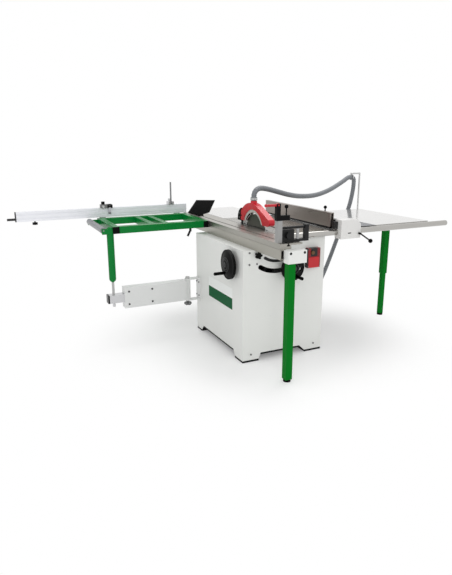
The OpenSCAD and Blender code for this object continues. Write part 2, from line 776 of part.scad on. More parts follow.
lift_x = [26, 64];
lift_s = [40, 112];
lift_y = [-178, 106];
housing_r = 30;
housing_x = [16, 98];
motor_y = 110;
motor_s = 195;
motor_plate_x = [130, 138];
motor_plate_y = [22, 197];
motor_plate_s = [40, 282];
rib_y = [60, 105];
rib_s = [40, 62];
nut_arm_s = [84, 110];
nut_arm_w = 32;
motor_shaft_r = 12;
knife_arm_y = [84, 106];
knife_t = 2.6;
function sink(s) = table_h - s;
function drop_span(s) = [sink(s[1]), sink(s[0])];
function side_span(d) = [blade_x + d[0], blade_x + d[1]];
module lift_carriage() {
    nut_arm_x = [blade_x + lift_x[0], screw_x + nut_arm_w / 2];
    color(cast_iron) difference() {
        union() {
            block(side_span(lift_x), lift_y, drop_span(lift_s));
            rod_x(side_span(housing_x), arbor_y, arbor_z, housing_r);
            block(nut_arm_x, span(-screw_front, nut_arm_w), drop_span(nut_arm_s));
            block(side_span([lift_x[0], motor_plate_x[1]]), rib_y, drop_span(rib_s));
            block(side_span(motor_plate_x), motor_plate_y, drop_span(motor_plate_s));
            block([blade_x + knife_t / 2, blade_x + lift_x[0]], knife_arm_y, drop_span(nut_arm_s));
        }
        for (y = [-column_front, column_back])
            rod_z(column_x, y, [sink(lift_s[1]) - over, sink(lift_s[0]) + over], column_r + run_gap);
        rod_x([blade_x + housing_x[0] - over, blade_x + housing_x[1] + over], arbor_y, arbor_z,
            arbor_r + run_gap);
        rod_z(screw_x, -screw_front, [sink(nut_arm_s[1]) - over, sink(nut_arm_s[0]) + over],
            screw_r + run_gap);
        rod_x([blade_x + motor_plate_x[0] - over, blade_x + motor_plate_x[1] + over], motor_y,
            sink(motor_s),
            motor_shaft_r + over);
    }
}

motor_r = 74;
motor_len = 185;
motor_cap = 22;
fin_n = 20;
fin_h = 8;
fin_w = 4;
motor_x = above(blade_x + motor_plate_x[1], motor_len);
module motor() {
    color(bare_metal) difference() {
        union() {
            rod_x(motor_x, motor_y, sink(motor_s), motor_r - fin_h);
            for (x = [above(motor_x[0], motor_cap), below(motor_x[1], motor_cap)])
                rod_x(x, motor_y, sink(motor_s), motor_r);
            for (k = [0 : fin_n - 1]) translate([0, motor_y, sink(motor_s)]) rotate([360 * k / fin_n, 0, 0])
                block([motor_x[0] + motor_cap - over, motor_x[1] - motor_cap + over], span(0, fin_w),
                    [motor_r - 2 * fin_h, motor_r - over / 2]);
        }
        rod_x([motor_x[0] - over, motor_x[0] + motor_bore], motor_y, sink(motor_s),
            motor_shaft_r + run_gap);
    }
}
motor_bore = 60;

knife_gap = 6;
knife_y = [68, 132];
knife_top = 92;
knife_low = 112;
module riving_knife() {
    color(bare_metal) side_plate(span(blade_x, knife_t)) difference() {
        translate([knife_y[0] - blade_r / 2, sink(knife_low)])
            square([knife_y[1] - knife_y[0] + blade_r / 2, knife_top + knife_low]);
        translate([arbor_y, arbor_z]) circle(r = blade_r + knife_gap, $fn = 128);
        translate([knife_y[0] - blade_r, sink(knife_low) - over]) square([blade_r, knife_low + over]);
    }
}

// Belt drive at the right end of the arbor

belt_x = [104, 124];
arbor_pulley_r = 32;
motor_pulley_r = 40;
belt_t = 5;
belt_w = 16;
belt_sides = 48;
module belt_loop(extra) {
    hull() {
        translate([arbor_y, arbor_z]) circle(r = arbor_pulley_r + extra + move_gap, $fn = belt_sides);
        translate([motor_y, sink(motor_s)]) circle(r = motor_pulley_r + extra + move_gap, $fn = belt_sides);
    }
}
module drive_belt() {
    color(black_part) side_plate(span(blade_x + (belt_x[0] + belt_x[1]) / 2, belt_w)) difference() {
        belt_loop(belt_t);
        belt_loop(0);
    }
}

// Spinning pieces

flange_r = 25;
flange_t = 10;
nut_r = 14;
nut_t = 16;
bore_r = 12;
nut_end = 3;
module arbor_shaft() {
    left = blade_x - blade_t / 2 - flange_t - nut_t + nut_end;
    color(bare_metal) {
        rod_x([blade_x + blade_t / 2, blade_x + belt_x[1]], arbor_y, arbor_z, arbor_r);
        rod_x([left, blade_x + blade_t / 2], arbor_y, arbor_z, bore_r - run_gap);
        rod_x(above(blade_x + blade_t / 2, flange_t), arbor_y, arbor_z, flange_r);
        rod_x(side_span(belt_x), arbor_y, arbor_z, arbor_pulley_r);
    }
}
tooth_h = 8;
gullet_share = 0.45;
module saw_blade() {
    step = 360 / tooth_n;
    color(bare_metal) side_plate(span(blade_x, blade_t)) translate([arbor_y, arbor_z]) difference() {
        polygon([for (k = [0 : tooth_n - 1]) each [
            blade_r * [cos(k * step), sin(k * step)],
            (blade_r - tooth_h) * [cos((k + gullet_share) * step), sin((k + gullet_share) * step)]]]);
        circle(r = bore_r);
    }
}
module arbor_nut() {
    face = blade_x - blade_t / 2;
    color(bare_metal) difference() {
        union() {
            rod_x(below(face, flange_t), arbor_y, arbor_z, flange_r);
            translate([face - flange_t - nut_t + nut_end, arbor_y, arbor_z]) rotate([0, 90, 0])
                cylinder(r = nut_r, h = nut_t - nut_end, $fn = 6);
        }
        rod_x([face - flange_t - nut_t - over, face + over], arbor_y, arbor_z, bore_r);
    }
}
module motor_pulley() {
    color(bare_metal) {
        rod_x(side_span(belt_x), motor_y, sink(motor_s), motor_pulley_r);
        rod_x([blade_x + belt_x[0], motor_x[0] + motor_bore - over], motor_y, sink(motor_s), motor_shaft_r);
    }
}

// Guard hood on a holder that floats on the riving knife

hood_front = 316;
hood_back = 96;
hood_wall = 4;
hood_top = 166;
hood_mid = 60;
hood_nose_r = 26;
hood_r = 205;
hood_lean = 25;
window_r = 150;
window_top = 122;
spigot_h = 30;
spigot_low = 14;
pivot_y = 90;
pivot_rise = 62;
pivot_r = 6;
hood_x = span(blade_x, guard_w);
hood_low = table_h + guard_rise;
// Arched side outline of the hood in Y and Z, drawn in by the given wall
module hood_outline(wall) {
    low = hood_low - (wall > 0 ? over : 0);
    intersection() {
        union() {
            intersection() {
                translate([-hood_mid, table_h + hood_top - hood_r]) circle(r = hood_r - wall, $fn = 128);
                translate([-hood_front + hood_nose_r, low])
                    square([hood_front - hood_nose_r + hood_back - wall, hood_top + hood_r]);
            }
            translate([-hood_front + hood_nose_r, hood_low + hood_nose_r]) circle(r = hood_nose_r - wall);
            polygon([[-hood_mid, table_h + hood_top - hood_r] + (hood_r - wall) * [-sin(hood_lean),
                cos(hood_lean)],
                [-hood_front + hood_nose_r, hood_low + hood_nose_r]
                    + (hood_nose_r - wall) * [-sin(hood_lean), cos(hood_lean)],
                [-hood_front + hood_nose_r, low], [-hood_mid, low]]);
        }
        translate([-hood_front + wall, low]) square([hood_front + hood_back - 2 * wall, hood_top + hood_r]);
    }
}
module window_outline(wall) {
    intersection() {
        translate([arbor_y + hood_wall, table_h + window_top - window_r]) circle(r = window_r - wall,
            $fn = 128);
        translate([-hood_front, hood_low - over]) square([hood_front + hood_back - 2 * hood_nose_r,
            hood_top]);
    }
}
module guard_hood() {
    color(red_paint) difference() {
        union() {
            side_plate(hood_x) hood_outline(0);
            rod_z(blade_x, -hood_mid, [hood_low + hood_top / 2, table_h + hood_top + spigot_h], branch_r);
            rod_z(blade_x, -hood_mid, [hood_low + hood_top / 2, table_h + hood_top + spigot_low],
                hose_r + hood_wall);
        }
        side_plate([hood_x[0] + hood_wall, hood_x[1] - hood_wall]) hood_outline(hood_wall);
        side_plate([hood_x[0] - over, hood_x[1] + over]) window_outline(0);
        rod_z(blade_x, -hood_mid, [hood_low, table_h + hood_top + spigot_h + over], branch_r - port_wall);
        rod_x([hood_x[0] - over, hood_x[1] + over], pivot_y, table_h + pivot_rise, pivot_r + run_gap);
        block([hood_x[0] + hood_wall, hood_x[1] - hood_wall], above(hood_back - 2 * hood_wall,
            3 * hood_wall),
            [hood_low - over, hood_low + hood_top]);
    }
}
skirt_t = 2;
skirt_band = 20;
module guard_skirt() {
    color(pale_metal) for (x = [above(hood_x[0] + hood_wall, skirt_t), below(hood_x[1] - hood_wall,
        skirt_t)])
        side_plate(x) difference() {
            window_outline(-hood_wall);
            window_outline(skirt_band);
            translate([-hood_front, hood_low - 2 * over]) square([hood_front + hood_back, 2 * over]);
        }
}
holder_gap = 0.6;
holder_low = 24;
// Rear bracket outline in Y and in height above the table
holder_outline = [[97, 24], [150, 24], [146, 58], [134, 88], [116, 106], [97, 116]];
pin_block_y = [78, 100];
tongue_w = 7.6;
tongue_y = [106, 128];
// The tongue still holds the knife with the blade fully down
tongue_grip = 12;
tongue_low = tongue_grip + lift_travel - knife_top;
module guard_holder() {
    color(black_part) difference() {
        union() {
            side_plate(hood_x) polygon([for (p = holder_outline) [p[0], table_h + p[1]]]);
            rod_x(hood_x, pivot_y, table_h + pivot_rise, pivot_r);
            block([hood_x[0] + hood_wall + move_gap, hood_x[1] - hood_wall - move_gap], pin_block_y,
                span(table_h + pivot_rise, 3 * pivot_r));
            block(span(blade_x, tongue_w), tongue_y, [table_h - tongue_low, table_h + holder_low + over]);
        }
        block(span(blade_x, knife_t + 2 * holder_gap), [-over, knife_y[1] + holder_gap],
            [table_h - tongue_low - over, table_h + knife_top + over]);
    }
}

// Handwheels: a dished disc with rim and hub, drawn along +Z from its face

rim_w = 14;
wheel_depth = 40;
web_t = 8;
hub_r = 20;
grip_r = 11;
grip_len = 62;
grip_pin_r = 4;
grip_inset = 24;
grip_head = 4;
module handwheel(d, shaft, holes) {
    difference() {
        union() {
            rotate_extrude($fn = 96) polygon([[0, 0], [hub_r, 0], [hub_r, wheel_depth - web_t],
                [d / 2 - rim_w, web_t / 2], [d / 2, web_t / 2], [d / 2, rim_w + web_t], [d / 2 - rim_w,
                    rim_w + web_t],
                [hub_r, wheel_depth], [0, wheel_depth]]);
            translate([0, 0, -shaft]) cylinder(r = shaft_r, h = shaft + web_t);
            translate([d / 2 - grip_inset, 0, web_t]) cylinder(r = grip_pin_r,
                h = wheel_depth + grip_len - web_t);
            translate([d / 2 - grip_inset, 0, wheel_depth + grip_len - grip_head])
                cylinder(r = grip_pin_r + grip_head / 2, h = grip_head);
            translate([d / 2 - grip_inset, 0, web_t / 2]) cylinder(r = grip_r,
                h = wheel_depth - web_t / 2 - move_gap);
        }
        for (k = [0 : holes - 1]) rotate([0, 0, 360 * (k + 1 / 2) / holes])
            translate([d / 4 + grip_r, 0, -over]) cylinder(r = grip_r + over, h = wheel_depth + 2 * over);
    }
}
module wheel_handle(d) {
    translate([d / 2 - grip_inset, 0, wheel_depth]) difference() {
        cylinder(r = grip_r, h = grip_len - grip_head - move_gap);
        translate([0, 0, -over]) cylinder(r = grip_pin_r + run_gap, h = grip_len + over);
    }
}
wheel_stand = 34;
height_wheel_y = -half_d - wheel_stand;
height_grip_a = -68;
tilt_grip_a = 150;
bevel_r = 13;
bevel_t = 12;
height_shaft_end = -screw_front - bevel_r - move_gap;
wheel_hole_n = 3;
module at_height_wheel() {
    translate([wheel_x, height_wheel_y, wheel_z]) rotate([90, 0, 0]) rotate([0, 0, height_grip_a])
        children();
}
module height_wheel() {
    color(black_part) {
        at_height_wheel() handwheel(height_wheel_d, height_shaft_end - height_wheel_y, wheel_hole_n);
        rod_y(wheel_x, above(height_shaft_end - bevel_t, bevel_t), wheel_z, bevel_r);
    }
}
module height_grip() {
    color(black_part) at_height_wheel() wheel_handle(height_wheel_d);
}
screw_top_s = 60;
module lift_screw() {
    seat = table_h - beam_s[0];
    color(bare_metal) {
        rod_z(screw_x, -screw_front, [seat, sink(screw_top_s)], screw_r);
        rod_z(screw_x, -screw_front, below(wheel_z - bevel_r - move_gap, bevel_t), bevel_r);
    }
}
tilt_wheel_stand = 22;
tilt_wheel_x = -half_w - tilt_wheel_stand;
screw_tail = 26;
module at_tilt_wheel() {
    translate([tilt_wheel_x, -tilt_screw_front, tilt_screw_z]) rotate([0, -90, 0]) rotate([0, 0,
        tilt_grip_a]) children();
}
module tilt_wheel() {
    color(black_part) {
        at_tilt_wheel() handwheel(tilt_wheel_d, tilt_wheel_stand, 0);
        rod_x([tilt_wheel_x, arc_x(nut_path_r, nut_rest_a) + screw_tail], -tilt_screw_front,
            tilt_screw_z, tilt_shaft_r);
    }
}
module tilt_grip() {
    color(black_part) at_tilt_wheel() wheel_handle(tilt_wheel_d);
}
nut_low = 11;
nut_high = 64;
nut_w = 34;
nut_slot_w = 12.6;
nut_slot_low = 22;
module tilt_nut() {
    x = arc_x(nut_path_r, nut_rest_a);
    color(bare_metal) difference() {
        block(span(x, nut_w), nut_y, [tilt_screw_z - nut_low, tilt_screw_z + nut_high]);
        rod_x([x - nut_w, x + nut_w], -tilt_screw_front, tilt_screw_z, tilt_shaft_r + run_gap);
        block(span(x, nut_slot_w), [nut_y[0] - over, nut_y[1] + over],
            [tilt_screw_z + nut_slot_low, tilt_screw_z + nut_high + over]);
    }
}

// Sliding carriage with its T-slot

lip_t = 10;
block_share = 0.49;
tslot_w = 10;
tslot_head_w = 20;
tslot_neck = 8;
tslot_head_h = 9;
tslot_from_left = 55;
tslot_x = carriage_left + tslot_from_left;
block_x = [carriage_left, carriage_left + carriage_w * block_share];
module carriage_table() {
    y = carriage_y;
    past = [y[0] - over, y[1] + over];
    color(bare_metal) difference() {
        union() {
            block([carriage_left, carriage_right], y, [table_h - lip_t, table_h]);
            block(block_x, y, [carriage_z, table_h]);
        }
        block([ridge_x[0] - move_gap, ridge_x[1] + move_gap], past,
            [carriage_z - over, base_top + ridge_h + move_gap]);
        block(span(tslot_x, tslot_w), past, [table_h - tslot_neck - over, table_h + over]);
        block(span(tslot_x, tslot_head_w), past, below(table_h - tslot_neck, tslot_head_h));
    }
}

// Leaning edging shoe with its T-bolt

// Shoe outline in Y and up the plate
shoe_outline = [[436, 50], [406, 152], [752, 118], [843, 0], [620, 0]];
shoe_foot_y = [612, 843];
shoe_t = 5;
shoe_lean = 20;
shoe_foot_w = 46;
shoe_foot_t = 8;
shoe_x = tslot_x - shoe_foot_w / 2;
rest_gap = 0.3;
module t_bolt(y, top) {
    rod_z(tslot_x, y, [table_h - tslot_neck - tslot_head_h / 2, top], tslot_w / 2 - move_gap);
    block(span(tslot_x, tslot_head_w - 2 * move_gap), span(y, tslot_head_w),
        [table_h - tslot_neck - tslot_head_h + move_gap, table_h - tslot_neck - move_gap]);
}
module edging_shoe() {
    z = table_h + rest_gap;
    color(black_part) {
        block(above(shoe_x, shoe_foot_w), shoe_foot_y, above(z, shoe_foot_t));
        translate([shoe_x, 0, z + shoe_t * sin(shoe_lean)]) rotate([0, shoe_lean, 0])
            side_plate([0, shoe_t]) polygon(shoe_outline);
        t_bolt((shoe_foot_y[0] + shoe_foot_y[1]) / 2, z + shoe_foot_t);
    }
}

// Eccentric hold-down clamp on the near end of the carriage

clamp_near = 700;
clamp_d = 34;
column_w = 30;
column_h = 132;
casting_len = 190;
casting_h = 100;
casting_foot = 14;
casting_body_w = 86;
casting_body_h = 76;
casting_post_w = 26;
casting_shaft = 118;
casting_shaft_r = 9;
casting_handle_r = 8;
casting_handle_z = 86;
casting_knob_r = 20;
casting_knob_z = 42;
casting_knob_out = 31;
casting_t = 26;
clamp_y = span(-clamp_near + clamp_d / 2, clamp_d);
column_span = above(carriage_left, column_w);
clamp_axis_x = column_span[0] + column_w / 2;
clamp_axis_y = -clamp_near + clamp_d / 2;
clamp_pin_r = 8;
clamp_pin_h = 24;
module clamp_base() {
    x = above(column_span[1], casting_len);
    z = table_h + rest_gap;
    color(black_part) {
        block(column_span, clamp_y, above(z, column_h));
        t_bolt(clamp_axis_y, z);
        rod_z(clamp_axis_x, clamp_axis_y, above(z + column_h, clamp_pin_h), clamp_pin_r);
        block(x, span(clamp_axis_y, casting_t), above(z, casting_foot));
        block(above(x[0], casting_body_w), span(clamp_axis_y, casting_t), above(z, casting_body_h));
        block(below(x[1], casting_post_w), span(clamp_axis_y, casting_t), above(z, casting_h));
        rod_z(x[0] + casting_shaft, clamp_axis_y, above(z, casting_handle_z), casting_shaft_r);
        rod_x([x[0] - over, x[1] - over], clamp_axis_y, z + casting_handle_z, casting_handle_r);
        rod_y(x[0] + casting_body_w / 2, [clamp_axis_y - casting_knob_out, clamp_axis_y], z + casting_knob_z,
            casting_knob_r);
    }
}
arm_bar_h = 30;
arm_bar_w = 26;
arm_rise = 70;
arm_left = 22;
arm_right = 68;
module clamp_arm() {
    z = table_h + rest_gap + column_h + rest_gap;
    color(black_part) difference() {
        union() {
            block([clamp_axis_x - arm_left, clamp_axis_x + arm_right], span(clamp_axis_y, arm_bar_w),
                above(z, arm_bar_h));
            block(above(clamp_axis_x - arm_left, arm_bar_w), span(clamp_axis_y, arm_bar_w), above(z,
                arm_bar_h + arm_rise));
        }
        rod_z(clamp_axis_x, clamp_axis_y, [z - over, z + arm_bar_h + over], clamp_pin_r + run_gap);
        rod_z(clamp_axis_x + clamp_knob_out, clamp_axis_y, [z + over, z + arm_bar_h + over],
            knob_rod_r + run_gap);
        rod_y(lever_x, [clamp_axis_y - arm_bar_w, clamp_axis_y + arm_bar_w], lever_z,
            lever_pin_r + run_gap);
        block(above(clamp_axis_x - arm_left - over, arm_bar_w + 2 * over), span(clamp_axis_y,
            lever_w + 2 * move_gap),
            [lever_z - lever_pin_r - lever_hub, z + arm_bar_h + arm_rise + over]);
    }
}
lever_pin_r = 5;
lever_hub = 8;
lever_w = 18;
lever_len = 80;
lever_x = clamp_axis_x - arm_left + arm_bar_w / 2;
lever_z = table_h + column_h + arm_bar_h + arm_rise - lever_hub;
lever_grip_r = 9.5;
module clamp_lever() {
    color(red_paint) {
        rod_y(lever_x, span(clamp_axis_y, lever_w), lever_z, lever_hub + lever_pin_r - over);
        rod_y(lever_x, span(clamp_axis_y, arm_bar_w), lever_z, lever_pin_r);
        rod_x(below(lever_x, lever_len), clamp_axis_y, lever_z, lever_w / 2 - over / 2);
        translate([lever_x - lever_len, clamp_axis_y, lever_z]) rotate([0, 90, 0]) sphere(r = lever_grip_r);
    }
}
knob_rod_r = 4;
clamp_knob_out = 50;
clamp_knob_h = 78;
ball_r = 12;
module clamp_knob() {
    z = table_h + 2 * rest_gap + column_h + over;
    color(black_part) {
        rod_z(clamp_axis_x + clamp_knob_out, clamp_axis_y, above(z, clamp_knob_h), knob_rod_r);
        translate([clamp_axis_x + clamp_knob_out, clamp_axis_y, z + clamp_knob_h]) sphere(r = ball_r);
    }
}

// Outrigger frame: welded tubes, roller ears, fence ears and the post

out_x = [carriage_left - out_len, carriage_left];
out_y = above(out_back, out_d);
out_z = below(table_h, out_tube);
cross_w = 40;
cross_tube_shares = [0.42, 0.56];
ear_thick = 8;
roller_out = 62;
roller_x = out_x[0] - roller_out;
roller_gap = 2;
axle_r = 6;
roller_z = table_h - roller_r;
post_out = 13;
post_x = out_x[0] - post_out;
post_y = out_y[0] + out_tube / 2;
post_low = 466;
spindle_r = 9;
inner_top = arm_z + inner_w / 2;
fence_ear_w = 44;
fence_ear_t = 9;
fence_behind = 10;
fence_back = out_y[1] + fence_behind;
fence_y = above(fence_back, cross_d);
fence_inset = 20;
fence_right = carriage_left + fence_inset;
fence_pivot_in = 80;
fence_pivot_x = fence_right - fence_pivot_in;
fence_pivot_y = (fence_y[0] + fence_y[1]) / 2;
fence_pin_r = 8;
far_ear_x = out_x[0] + out_tube;
module hollow_x(x, y, z) {
    wall = leg_wall;
    difference() {
        block(x, y, z);
        block([x[0] - over, x[1] + over], [y[0] + wall, y[1] - wall], [z[0] + wall, z[1] - wall]);
    }
}
module hollow_y(x, y, z) {
    wall = leg_wall;
    difference() {
        block(x, y, z);
        block([x[0] + wall, x[1] - wall], [y[0] + wall, y[1] - wall], [z[0] + wall, z[1] - wall]);
    }
}
module outrigger_frame() {
    inner_y = [out_y[0] + out_tube, out_y[1] - out_tube];
    color(green_paint) difference() {
        union() {
            for (y = [above(out_y[0], out_tube), below(out_y[1], out_tube)])
                hollow_x([out_x[0] + out_tube, out_x[1] - cross_w], y, out_z);
            hollow_y(above(out_x[0], out_tube), out_y, out_z);
            hollow_y(below(out_x[1], cross_w), out_y, out_z);
            for (share = cross_tube_shares)
                hollow_y(span(out_x[0] + out_len * share, cross_w), inner_y, out_z);
            for (y = [above(out_y[0], ear_thick), below(out_y[1], ear_thick)])
                block([roller_x - 2 * axle_r, out_x[0]], y, [out_z[0], roller_z + 2 * axle_r]);
            block([post_x - post_r, out_x[0]], above(out_y[0], out_tube), above(out_z[0], ear_thick));
            rod_z(post_x, post_y, [post_low + post_r, table_h - post_r], post_r);
            for (z = [post_low + post_r, table_h - post_r]) translate([post_x, post_y, z]) sphere(r = post_r);
            rod_z(post_x, post_y, [inner_top + move_gap, post_low + post_r], spindle_r);
            for (x = [fence_pivot_x, far_ear_x])
                block(span(x, fence_ear_w), [out_y[1] - over, fence_y[1]], below(table_h, fence_ear_t));
        }
        rod_y(roller_x, [out_y[0] - over, out_y[1] + over], roller_z, axle_r + run_gap);
        rod_z(fence_pivot_x, fence_pivot_y, [table_h - fence_ear_t - over, table_h + over],
            fence_pin_r + run_gap);
    }
    color(black_part) translate([clamp_at_x, clamp_at_y, out_z[0]]) {
        translate([0, 0, -hold_len]) cylinder(r = hold_r, h = hold_len);
        translate([0, 0, hold_r - hold_len]) rotate([0, -hold_turn, 0]) cylinder(r = hold_r - over / 2,
            h = hold_lever);
    }
}
hold_r = 9;
hold_len = 26;
hold_lever = 50;
hold_turn = 153;
hold_in = 138;
clamp_at_x = out_x[1] - hold_in;
clamp_at_y = out_back + out_tube / 2;
module loading_roller() {
    color(bare_metal) {
        rod_y(roller_x, [out_y[0] + ear_thick + roller_gap, out_y[1] - ear_thick - roller_gap], roller_z,
            roller_r);
        rod_y(roller_x, [out_y[0] + over, out_y[1] - over], roller_z, axle_r);
    }
}

// Crosscut fence: extrusion with a telescopic inner profile

cross_wall = 5;
groove_w = 8;
groove_d = 3.5;
fence_gap = 3;
fence_x = [fence_right - cross_len, fence_right];
fence_z = above(table_h + fence_gap, cross_h);
bore_y = [fence_y[0] + cross_wall + groove_d, fence_y[1] - cross_wall];
bore_z = [fence_z[0] + cross_wall, fence_z[1] - cross_wall - groove_d];
groove_shares = [0.3, 0.72];
knob_from_end = 130;
lock_x = fence_x[0] + knob_from_end;
lock_r = 5;
pad_r = 18;
module crosscut_fence() {
    past = [fence_x[0] - over, fence_x[1] + over];
    color(pale_metal) difference() {
        union() {
            block(fence_x, fence_y, fence_z);
            for (x = [fence_pivot_x, far_ear_x]) rod_z(x, fence_pivot_y, [table_h + rest_gap,
                fence_z[0]], pad_r);
            rod_z(fence_pivot_x, fence_pivot_y, [table_h - fence_ear_t, fence_z[0]], fence_pin_r);
        }
        block([fence_x[0] - over, fence_x[1] - cross_wall], bore_y, bore_z);
        for (share = groove_shares)
            block(past, [fence_y[0] - over, fence_y[0] + groove_d], span(fence_z[0] + cross_h * share,
                groove_w));
        block(past, span(fence_pivot_y, groove_w), [fence_z[1] - groove_d, fence_z[1] + over]);
        rod_z(lock_x, fence_pivot_y, [fence_z[0] - over, bore_z[0] + over], lock_r + run_gap);
    }
}
extension_len = 760;
end_cap_t = 8;
handle_len = 56;
handle_r = 9;
module fence_extension() {
    y = [bore_y[0] + move_gap, bore_y[1] - move_gap];
    z = [bore_z[0] + move_gap, bore_z[1] - move_gap];
    color(pale_metal) {
        difference() {
            block([fence_x[0] - rest_gap, fence_x[0] + extension_len], y, z);
            block([fence_x[0], fence_x[0] + extension_len + over], [y[0] + leg_wall, y[1] - leg_wall],
                [z[0] + leg_wall, z[1] - leg_wall]);
        }
        block(below(fence_x[0] - rest_gap, end_cap_t), fence_y, fence_z);
        rod_x(below(fence_x[0] - end_cap_t, handle_len), fence_pivot_y, fence_z[0] + 2 * handle_r,
            handle_r);
    }
}
lock_knob_r = 19;
lock_knob_h = 16;
lock_stem = 12;
module extension_knob() {
    color(black_part) {
        rod_z(lock_x, fence_pivot_y, [fence_z[0] - lock_stem, bore_z[0]], lock_r);
        rod_z(lock_x, fence_pivot_y, below(fence_z[0] - lock_stem, lock_knob_h), lock_knob_r);
    }
}

// Flip stops on the crosscut fence

left_stop_x = -872;
stop_tail = 44;
right_stop_x = -360;
stop_w = 44;
stop_block_h = 26;
stop_knob_r = 14;
stop_knob_h = 22;
stop_pin_r = 4;
stop_arm_t = 12;
stop_arm_w = 18;
stop_reach = 60;
stop_rod_h = 172;
stop_rod_r = 6.5;
stop_pin_y = fence_y[0] - stop_arm_t;
stop_pin_z = fence_z[1] + rest_gap + stop_block_h / 2;
module stop_block(x, tail) {
    z = fence_z[1] + rest_gap;
    color(black_part) difference() {
        union() {
            block([x - stop_w / 2 - tail, x + stop_w / 2], [stop_pin_y - stop_arm_t, fence_y[1]],
                above(z, stop_block_h));
            block(span(x, stop_w), span(fence_pivot_y, groove_w - 2 * move_gap),
                [z - groove_d + move_gap, z]);
            rod_z(x - tail, fence_pivot_y, above(z + stop_block_h, stop_knob_h), stop_knob_r);
        }
        block(span(x, stop_arm_w + 2 * move_gap), [stop_pin_y - 2 * stop_arm_t, fence_y[0] + over],
            [z - over, z + stop_block_h + over]);
        rod_x(span(x, stop_w + 2 * over), stop_pin_y, stop_pin_z, stop_pin_r + run_gap);
    }
}
module left_stop_block() {
    stop_block(left_stop_x, stop_tail);
}
module right_stop_block() {
    stop_block(right_stop_x, 0);
}
module stop_hub(x) {
    rod_x(span(x, stop_w), stop_pin_y, stop_pin_z, stop_pin_r);
    rod_x(span(x, stop_arm_w), stop_pin_y, stop_pin_z, stop_arm_t / 2 + over);
}
module left_stop_arm() {
    color(black_part) {
        stop_hub(left_stop_x);
        block(span(left_stop_x, stop_arm_w), span(stop_pin_y, stop_arm_t), below(stop_pin_z, stop_reach));
    }
}
module right_stop_arm() {
    color(bare_metal) {
        stop_hub(right_stop_x);
        rod_z(right_stop_x, stop_pin_y, above(stop_pin_z, stop_rod_h), stop_rod_r);
    }
}

// Swing arm under the outrigger

arm_x = [arm_hinge_x - arm_len, arm_hinge_x];
arm_wall = 4;
barrel_r = 22;
arm_bolt_shares = [0.05, 0.4];
arm_bolt_r = 7;
arm_bolt_h = 4;
arm_bolt_rise = 48;
module swing_arm() {
    y = span(arm_back, arm_d);
    z = span(arm_z, arm_h);
    inside = [arm_x[0] - over, arm_x[1] - barrel_r];
    color(white_paint) difference() {
        union() {
            block([arm_x[0], arm_x[1]], y, z);
            rod_z(arm_hinge_x, arm_back, z, barrel_r);
            for (share = arm_bolt_shares, side = [-1, 1])
                rod_y(arm_x[0] + arm_len * share + arm_bolt_r, below(y[0], arm_bolt_h),
                    arm_z + side * arm_bolt_rise, arm_bolt_r);
        }
        difference() {
            block([arm_hinge_x - barrel_r, arm_hinge_x + barrel_r + over], [y[0] - over, y[1] + over],
                [z[0] - over, z[1] + over]);
            rod_z(arm_hinge_x, arm_back, [z[0] - 2 * over, z[1] + 2 * over], barrel_r);
            block([arm_hinge_x - barrel_r - over, arm_hinge_x], span(arm_back, 2 * barrel_r),
                [z[0] - over, z[1] + over]);
        }
        rod_z(arm_hinge_x, arm_back, [z[0] - over, z[1] + over], pin_r + run_gap);
        block(inside, span(arm_back, inner_w + 2 * move_gap), span(arm_z, inner_w + 2 * move_gap));
    }
}
inner_out = 120;
inner_cap = 8;
inner_back = 44;
inner_x = [arm_x[0] - inner_out, arm_x[1] - inner_back];
stub_r = 10;
stub_len = 32;
module inner_arm() {
    color(bare_metal) {
        difference() {
            block(inner_x, span(arm_back, inner_w), span(arm_z, inner_w));
            block([inner_x[0] + inner_cap, inner_x[1] + over], span(arm_back, inner_w - 2 * arm_wall),
                span(arm_z, inner_w - 2 * arm_wall));
        }
        rod_z(post_x, arm_back, below(arm_z - inner_w / 2, stub_len), stub_r);
    }
}

// Rip fence: head on the rail, sliding plate and levers

head_from_face = 30;
head_w = 165;
head_x = above(rip_x + head_from_face, head_w);
head_ahead = 53;
head_behind = 17;
head_under = 62;
head_rise = 68;
head_front = rail_front + head_ahead;
head_back = rail_front - head_behind;
head_low = table_h - head_under;
head_top = table_h + head_rise;
head_corner = 34;
wing_w = 190;
wing_d = 265;
wing_t = 3;
wing_lap = 7;
wing_gap = 1.5;
head_arm_w = 34;
head_arm_h = 62;
head_arm_len = 215;
rip_gap = 3;
rip_near = 391;
rip_z = above(table_h + rip_gap, rip_h);
arm_left_x = rip_x + rip_t + rest_gap;
lever_boss_r = 7;
lever_rod_r = 5;
lever_reach = 92;
rip_ball_r = 15;
rip_ball_gap = 2;
fence_lever_y = -231;
fence_lever_rise = 45;
fence_lever_z = table_h + fence_lever_rise;
fence_lever_w = 10;
fence_lever_r = 12;
fence_lever_len = 84;
front_clamp_d = 30;
front_clamp_rise = [6, 55];
front_clamp_y = span(-rail_front, front_clamp_d);
front_clamp_z = [table_h + front_clamp_rise[0], table_h + front_clamp_rise[1]];
lever_fall = 58;
rip_lever_x = head_x[1] - 2 * lever_boss_r;
rip_lever_z = head_low + 32;
rip_lever_y = -head_front + 4 * lever_boss_r;
